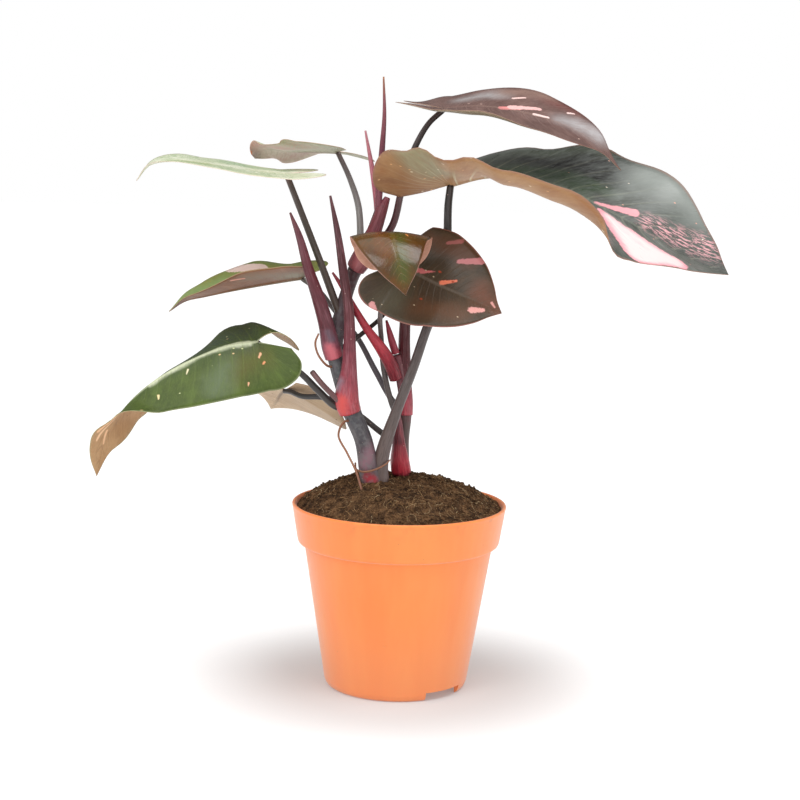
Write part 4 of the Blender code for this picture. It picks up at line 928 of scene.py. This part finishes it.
def noded(places):
    """A section for a stem that swells a little at its nodes."""
    def section(turn, reach, total):
        swell = sum(exp(-((reach - place) / 1.1) ** 2) for place in places)
        return 1 + 0.05 * swell + 0.012 * sin(3 * turn + reach / 9)
    return section


def hollow_end(turn, reach, total):
    return 1 - 0.3 * max(0.0, reach - total + 0.8)


def make_stems():
    for name, path in SHEATHS.items():
        skin = rod_skin(name, path_length(path), **SHEATH_LOOKS[name], amount=0.4, stripes=2.4,
                        rough=0.36, relief=0.35, coat=0.1)
        settle(make_rod(name + "_skin", path, skin, "sheath", 36, ridged), name)
    for name, (path, heights, sides, look) in STEM_LOOKS.items():
        rings = [along_at(path, height) for height in heights]
        skin = rod_skin(name, path_length(path), **look, rings=rings, amount=0.35, relief=0.15)
        settle(make_rod(name + "_skin", path, skin, "stem", sides, noded(rings)), name)
    skin = rod_skin("root", ROOT_LENGTH, ROOT_TONES, "c49a80", 0.5, stripes=2.0, rough=0.6)
    for name, path in ROOTS.items():
        settle(make_rod(name, path, skin, "stem", 10))
    skin = rod_skin("cut_stalk", path_length(CUT_STALK), CUT_STALK_TONES, "93767a", 0.4, stripes=2.0)
    settle(make_rod("cut_stalk_skin", CUT_STALK, skin, "stem", section=hollow_end), "cut_stalk")


def on_circle(radius, turn, z):
    """A point at a turn round the pot's axis."""
    return radius * cos(turn), radius * sin(turn), z


def soil_height(x, y):
    """Height of the soil: a low heap round the stems with lumps and hollows."""
    r = min(1.0, hypot(x, y) / (RIM_RADIUS - 3))
    off = hypot(x - SOIL_MIDDLE[0], y - SOIL_MIDDLE[1]) / RIM_RADIUS
    heap = SOIL_HEAP * (1 - r**4) * exp(-0.4 * off**2)
    lumps = sin(x / 7 + 1.3) * cos(y / 8.5) + 0.7 * sin((x - y) / 5.1)
    return SOIL_EDGE + heap + 0.9 * (1 - r**4) * lumps


def grainy_height(x, y):
    """Height of the soil with its clods and crumbs."""
    place = Vector((x, y, 3.0))
    clods = 1.5 * noise.noise(place / 6.0) + 1.0 * noise.noise(place / 2.7)
    return soil_height(x, y) + clods + 0.55 * noise.noise(place / 1.2)


def soil_skin(name, rough):
    paint = Paint(name, rough, specular=0.2)
    place = paint.place()
    shade = place.noise(0.16, 4, 0.6) * 0.5 + place.noise(0.9, 5, 0.7) * 0.5
    colour = shade.ramp(PEAT_TONES).tinted("a8835a", place.specks(1.7, 0.3, 0.1))
    return paint.finish(colour, place.noise(2.2, 4, 0.7) * 0.9)


def make_soil():
    edge = RIM_RADIUS - 2 * WALL - 0.8
    turns = [2 * pi * k / SOIL_SPOKES for k in range(SOIL_SPOKES)]
    points, faces = [(0, 0, grainy_height(0, 0))], []
    for ring in range(1, SOIL_RINGS + 1):
        for turn in turns:
            x, y, _ = on_circle(edge * ring / SOIL_RINGS, turn, 0)
            points.append((x, y, grainy_height(x, y)))
    for radius, z in ((edge, SOIL_EDGE - 4), (60.0, POT_HEIGHT - RIM_BAND - 1), (46.0, 10.0)):
        points += [on_circle(radius, turn, z) for turn in turns]
    for k in range(SOIL_SPOKES):
        after = (k + 1) % SOIL_SPOKES
        faces.append((0, 1 + k, 1 + after))
        for first in range(1, 1 + (SOIL_RINGS + 2) * SOIL_SPOKES, SOIL_SPOKES):
            a, b = first + k, first + after
            faces.append((a, a + SOIL_SPOKES, b + SOIL_SPOKES, b))
    faces.append(tuple(reversed(range(len(points) - SOIL_SPOKES, len(points)))))
    settle(add_mesh("soil_surface", points, faces, "soil", soil_skin("soil_surface", 0.9)), "soil")


def soil_spot(draw):
    """An even random place on the soil, a little inside the rim."""
    turn, radius = draw.uniform(0, 2 * pi), (RIM_RADIUS - 6.0) * sqrt(draw.random())
    return on_circle(radius, turn, 0)[:2]


def make_crumbs():
    draw = random.Random(11)
    golden = (1 + sqrt(5)) / 2
    corners = [Vector(np.roll((a, b, 0), shift)).normalized() for shift in range(3)
               for b in (golden, -golden) for a in (-1, 1)]
    triangles = [(0, 11, 5), (0, 5, 1), (0, 1, 7), (0, 7, 10), (0, 10, 11), (1, 5, 9), (5, 11, 4),
                 (11, 10, 2), (10, 7, 6), (7, 1, 8), (3, 9, 4), (3, 4, 2), (3, 2, 6), (3, 6, 8),
                 (3, 8, 9), (4, 9, 5), (2, 4, 11), (6, 2, 10), (8, 6, 7), (9, 8, 1)]
    points, faces = [], []
    for _ in range(CRUMBS):
        x, y = soil_spot(draw)
        size = 0.45 + 1.1 * draw.random() ** 2.5
        turn = Matrix.Rotation(draw.uniform(0, 6.3), 3, Vector((draw.random(), draw.random(), 1)))
        stretch = Vector((1, draw.uniform(0.5, 1), draw.uniform(0.4, 0.8)))
        middle = Vector((x, y, grainy_height(x, y) + 0.25 * size))
        faces += [tuple(len(points) + c for c in triangle) for triangle in triangles]
        for corner in corners:
            points.append(middle + turn @ (corner * size * draw.uniform(0.7, 1.2) * stretch))
    settle(add_mesh("soil_crumbs", points, faces, "soil", soil_skin("soil_crumbs", 0.92)))


def fibre_path(draw, long):
    """A crooked thread that lies over the soil."""
    x, y = soil_spot(draw)
    turn = draw.uniform(0, 2 * pi)
    length = draw.uniform(10, 20) if long else draw.uniform(4, 9)
    thick = draw.uniform(0.10, 0.22)
    bend = draw.uniform(-0.12, 0.12)
    path = []
    for step in range(5):
        z = grainy_height(x, y) + thick + 0.5 * draw.random() * sin(step * 0.8)
        path.append((x, y, z, thick))
        x += length / 4 * cos(turn)
        y += length / 4 * sin(turn)
        turn += bend * length / 2 + draw.uniform(-0.2, 0.2)
        over = max(1.0, hypot(x, y) / (RIM_RADIUS - 4.5))
        x, y = x / over, y / over
    return path


def make_fibres():
    draw = random.Random(5)
    points, faces, marks = [], [], []
    for count in range(FIBRES):
        near, corners, rod = rod_mesh(fibre_path(draw, count % 12 == 0), 4, 9)
        faces += [tuple(len(points) + c for c in corner) for corner in corners]
        points += near
        marks += [(reach, side, count) for reach, side, _ in rod]
    paint = Paint("soil_fibres", 0.8, specular=0.2)
    which = paint.attribute("rod").parts()[2] * GOLDEN_SHARE
    grain = paint.place().noise(1.4)
    colour = which.math("FRACT").ramp(FIBRE_TONES).tinted("2c2018", grain.between(0.55, 0.3))
    fibres = add_mesh("soil_fibres", points, faces, "soil", paint.finish(colour, grain))
    store(fibres, "rod", marks)
    settle(fibres)


def ball(make, **settings):
    """Points and faces of a ball of radius 1."""
    shape = bmesh.new()
    make(shape, radius=1.0, **settings)
    shape.verts.index_update()
    points = [vertex.co.copy() for vertex in shape.verts]
    faces = [tuple(vertex.index for vertex in face.verts) for face in shape.faces]
    shape.free()
    return points, faces


def make_white_grain():
    """The one white grain that lies on the soil."""
    around, faces = ball(bmesh.ops.create_icosphere, subdivisions=2)
    x, y = WHITE_GRAIN
    middle = Vector((x, y, grainy_height(x, y) + 0.8))
    points = [middle + (1 + 0.3 * noise.noise(p * 1.7)) * p * Vector((1.1, 0.9, 0.9)) for p in around]
    paint = Paint("soil_white_grain", 0.7)
    tone = paint.place().noise(1.2)
    skin = paint.finish(tone.blend(srgb("f2efe6"), srgb("c9c2b4")), tone)
    settle(add_mesh("soil_white_grain", points, faces, "soil", skin))


def turned_points(outline, sides):
    """Points and faces of a closed outline of (radius, z) turned round the pot's axis."""
    rings, points, faces = [], [], []
    for radius, z in outline:
        first, count = len(points), sides if radius else 1
        rings.append([first + k % count for k in range(sides)])
        points += [on_circle(radius, 2 * pi * k / sides, z) for k in range(count)]
    for i, ring in enumerate(rings):
        after = rings[(i + 1) % len(rings)]
        for k in range(sides):
            corners = (ring[k], ring[(k + 1) % sides], after[(k + 1) % sides], after[k])
            corners = tuple(dict.fromkeys(corners))
            if len(corners) > 2:
                faces.append(corners)
    return points, faces


def pot_radius(z):
    """Outside radius of the pot's body at a height."""
    return BASE_RADIUS + (BODY_TOP_RADIUS - BASE_RADIUS) * z / (POT_HEIGHT - RIM_BAND)


def pot_outline():
    """(radius, z) round the pot's wall, from the middle of its floor up the inside and down."""
    floor = BASE_LIFT + WALL
    step = POT_HEIGHT - RIM_BAND
    foot = BASE_RADIUS - WALL - 1.2
    inside = [(0, WALL), (MIDDLE_FOOT - WALL, WALL), (MIDDLE_FOOT + WALL, floor),
              (pot_radius(floor) - WALL - 2, floor), (pot_radius(floor + 2) - WALL, floor + 2),
              (BODY_TOP_RADIUS - WALL, step), (BAND_LOWER_RADIUS - WALL, step + 2.5),
              (RIM_RADIUS - 2 * WALL, POT_HEIGHT - 1.5), (RIM_RADIUS - WALL - 0.6, POT_HEIGHT)]
    outside = [(RIM_RADIUS - 0.5, POT_HEIGHT), (RIM_RADIUS, POT_HEIGHT - BEAD),
               (RIM_RADIUS - 0.5, POT_HEIGHT - 2.4 * BEAD), (BAND_LOWER_RADIUS + 0.4, step + 3),
               (BAND_LOWER_RADIUS, step + 1), (BAND_LOWER_RADIUS - 1, step),
               (BODY_TOP_RADIUS, step - 1), (pot_radius(4), 4), (pot_radius(1.2) - 0.6, 1.2),
               (BASE_RADIUS - 2, 0), (foot, 0), (foot, BASE_LIFT), (MIDDLE_FOOT + 2, BASE_LIFT),
               (MIDDLE_FOOT, 0), (0, 0)]
    return inside + outside


def rounded(outline, radius, steps=4):
    """An open outline with its corners turned into small curves."""
    result = [outline[0]]
    for before, corner, after in zip(outline, outline[1:], outline[2:]):
        before, corner, after = Vector(before), Vector(corner), Vector(after)
        start = corner + (before - corner) * min(0.45, radius / (before - corner).length)
        end = corner + (after - corner) * min(0.45, radius / (after - corner).length)
        for w in (step / steps for step in range(steps + 1)):
            result.append(tuple(start * (1 - w) ** 2 + corner * 2 * w * (1 - w) + end * w**2))
    return result + [outline[-1]]


def notch_cutter(middle, steps=16):
    """A block that opens the foot ring over the notch's span."""
    points = []
    for z in (-3.0, NOTCH_HEIGHT):
        for k in range(steps + 1):
            turn = radians(middle + NOTCH_SPAN * (k / steps - 0.5))
            points += [on_circle(BASE_RADIUS + over, turn, z) for over in (-6, 6)]
    count = 2 * (steps + 1)
    faces = [(0, 1, count + 1, count), (count - 2, 2 * count - 2, 2 * count - 1, count - 1)]
    for k in range(0, count - 2, 2):
        faces += [(k, k + 2, k + 3, k + 1), (count + k, count + k + 1, count + k + 3, count + k + 2),
                  (k, count + k, count + k + 2, k + 2), (k + 1, k + 3, count + k + 3, count + k + 1)]
    return points, faces


def cut_out(thing, points, faces):
    """Cuts a closed shape out of a thing."""
    cutter = add_mesh("cutter", points, faces, "pot_plastic")
    change = thing.modifiers.new("cut", "BOOLEAN")
    change.operation = "DIFFERENCE"
    change.solver = "EXACT"
    change.object = cutter
    bpy.context.view_layer.update()
    seen = thing.evaluated_get(bpy.context.evaluated_depsgraph_get())
    mesh = bpy.data.meshes.new_from_object(seen)
    thing.modifiers.clear()
    thing.data = mesh
    bpy.data.objects.remove(cutter, do_unlink=True)


def pot_skin():
    """Orange plastic: faint flow marks, a paler foot, scuffs, and peat dust inside the rim."""
    paint = Paint("pot_shell", 0.42)
    paint.put("Subsurface Weight", 0.12)
    paint.put("Subsurface Radius", (1.0, 0.35, 0.12))
    paint.put("Subsurface Scale", 0.004)
    paint.put("Sheen Weight", 0.35)
    paint.put("Sheen Roughness", 0.45)
    place = paint.place()
    z = place.parts()[2]
    flow = (place * (1, 1, 0.12)).noise(0.045)
    dust = place.noise(0.12, 5, 0.65).between(0.5, 0.75) * z.between(POT_HEIGHT - 16, POT_HEIGHT + 2)
    colour = flow.between(0.3, 0.7).blend(srgb("f4853e"), srgb("f78e46"))
    colour = colour.tinted("fba377", z.between(70.0, 0.0) * 0.3)
    colour = colour.tinted("8a5a3a", dust * 0.28)
    colour = colour.tinted("c77a45", place.specks(9.0, 0.05, 0.25))
    scuffs = (place * (1, 1, 0.2)).noise(0.5, 5, 0.7).between(0.56, 0.68)
    height = place.noise(2.4, 3, 0.6) * 0.012 + flow * 0.5
    return paint.finish(colour, height, scuffs * 0.12 + flow * 0.1 + 0.36)


def make_pot():
    points, faces = turned_points(rounded(pot_outline(), 0.9), POT_SIDES)
    pot = add_mesh("pot_shell", points, faces, "pot_plastic")
    for angle in NOTCH_ANGLES:
        cut_out(pot, *notch_cutter(angle))
    for k in range(DRAINS):
        x, y, _ = on_circle(DRAIN_RING, 2 * pi * (k + 0.5) / DRAINS, 0)
        path = [(x, y, BASE_LIFT - 3, DRAIN_RADIUS), (x, y, BASE_LIFT + 5, DRAIN_RADIUS)]
        cut_out(pot, *rod_mesh(path, 32, 2)[:2])
    pot.data.shade_smooth()
    pot.data.set_sharp_from_angle(angle=radians(32))
    pot.data.materials.clear()
    pot.data.materials.append(pot_skin())
    settle(pot, "pot")


def make_gate():
    """The small moulding nub low on the front of the pot."""
    around, faces = ball(bmesh.ops.create_uvsphere, u_segments=16, v_segments=10)
    middle = Vector(on_circle(pot_radius(GATE_HEIGHT), radians(GATE_ANGLE), GATE_HEIGHT))
    turn = Matrix.Rotation(radians(GATE_ANGLE), 3, "Z")
    points = [middle + turn @ Vector((0.35 * p.y, 0.9 * p.x, 0.9 * p.z)) for p in around]
    plastic = bpy.data.materials["pot_shell"]
    settle(add_mesh("pot_gate_nub", points, faces, "pot_plastic", plastic))


def make_floor():
    mesh = bpy.data.meshes.new("floor")
    corners = [(x * FLOOR_SIZE, y * FLOOR_SIZE, 0) for x, y in ((-1, -1), (1, -1), (1, 1), (-1, 1))]
    mesh.from_pydata(corners, [], [(0, 1, 2, 3)])
    floor = bpy.data.objects.new("floor", mesh)
    bpy.context.scene.collection.objects.link(floor)
    paint = Paint("floor", 0.9, specular=0.1)
    place = paint.place()
    # The glow is weaker near the pot's middle, which paints a shadow round the pot.
    away = place.vector("LENGTH", output=1).between(*PAINTED_SHADOW_REACH)
    paint.put("Emission Color", (1, 1, 1, 1))
    paint.put("Emission Strength", away * (GLOW_FAR - GLOW_IN_PAINTED_SHADOW) + GLOW_IN_PAINTED_SHADOW)
    mesh.materials.append(paint.finish(place.noise(0.01, 2).blend(srgb("bebebe"), srgb("bababa"))))


def add_light(name, kind, power):
    lamp = bpy.data.lights.new(name, kind)
    lamp.energy = power
    thing = bpy.data.objects.new(name, lamp)
    bpy.context.scene.collection.objects.link(thing)
    return thing


def add_lamp(name, place, aim, power):
    """A soft square lamp that points at a place, both in metres."""
    lamp = add_light(name, "AREA", power)
    lamp.data.size = LAMP_SIZE
    lamp.location = place
    lamp.rotation_euler = (Vector(aim) - Vector(place)).to_track_quat("-Z", "Y").to_euler()


def make_lights():
    """A white studio, brighter in front and at the sides than behind, with two lamps and a sun."""
    world = bpy.data.worlds.new("studio")
    world.use_nodes = True
    nodes = Nodes(world.node_tree)
    x, y, _ = nodes.add("TexCoord").parts()
    behind = nodes.add("MapRange", (y, *FRONT_TO_BACK, FRONT_LIGHT, BACK_LIGHT))
    seen = nodes.add("LightPath")
    strength = nodes.add("Mix", {0: seen, 2: x * x * SIDE_LIGHT + behind, 3: 1.0})
    wall = world.node_tree.nodes["Background"]
    nodes.feed(wall.inputs["Color"], (1, 1, 1, 1))
    nodes.feed(wall.inputs["Strength"], strength)
    bpy.context.scene.world = world
    add_lamp("key", (-0.9, -1.3, 1.7), (0, 0, 0.2), KEY_POWER)
    add_lamp("over", (0.35, -0.5, 1.6), (0.1, 0, 0.2), OVER_POWER)
    add_light("sky", "SUN", SUN_STRENGTH).data.angle = radians(SUN_WIDTH)
    bpy.context.scene.view_settings.view_transform = "Standard"


def make_camera():
    lens = bpy.data.cameras.new("camera")
    lens.lens = CAMERA_LENS
    camera = bpy.data.objects.new("camera", lens)
    bpy.context.scene.collection.objects.link(camera)
    camera.matrix_world = (Matrix.Translation(Vector(CAMERA_PLACE) * MM)
                           @ Matrix.Rotation(pi / 2 - CAMERA_PITCH, 4, "X")
                           @ Matrix.Rotation(CAMERA_ROLL, 4, "Z"))
    bpy.context.scene.camera = camera


def main():
    for name, leaf in LEAVES.items():
        make_leaf(name, leaf)
    make_stems()
    make_soil()
    make_crumbs()
    make_fibres()
    make_white_grain()
    make_pot()
    make_gate()
    make_floor()
    make_lights()
    make_camera()


main()
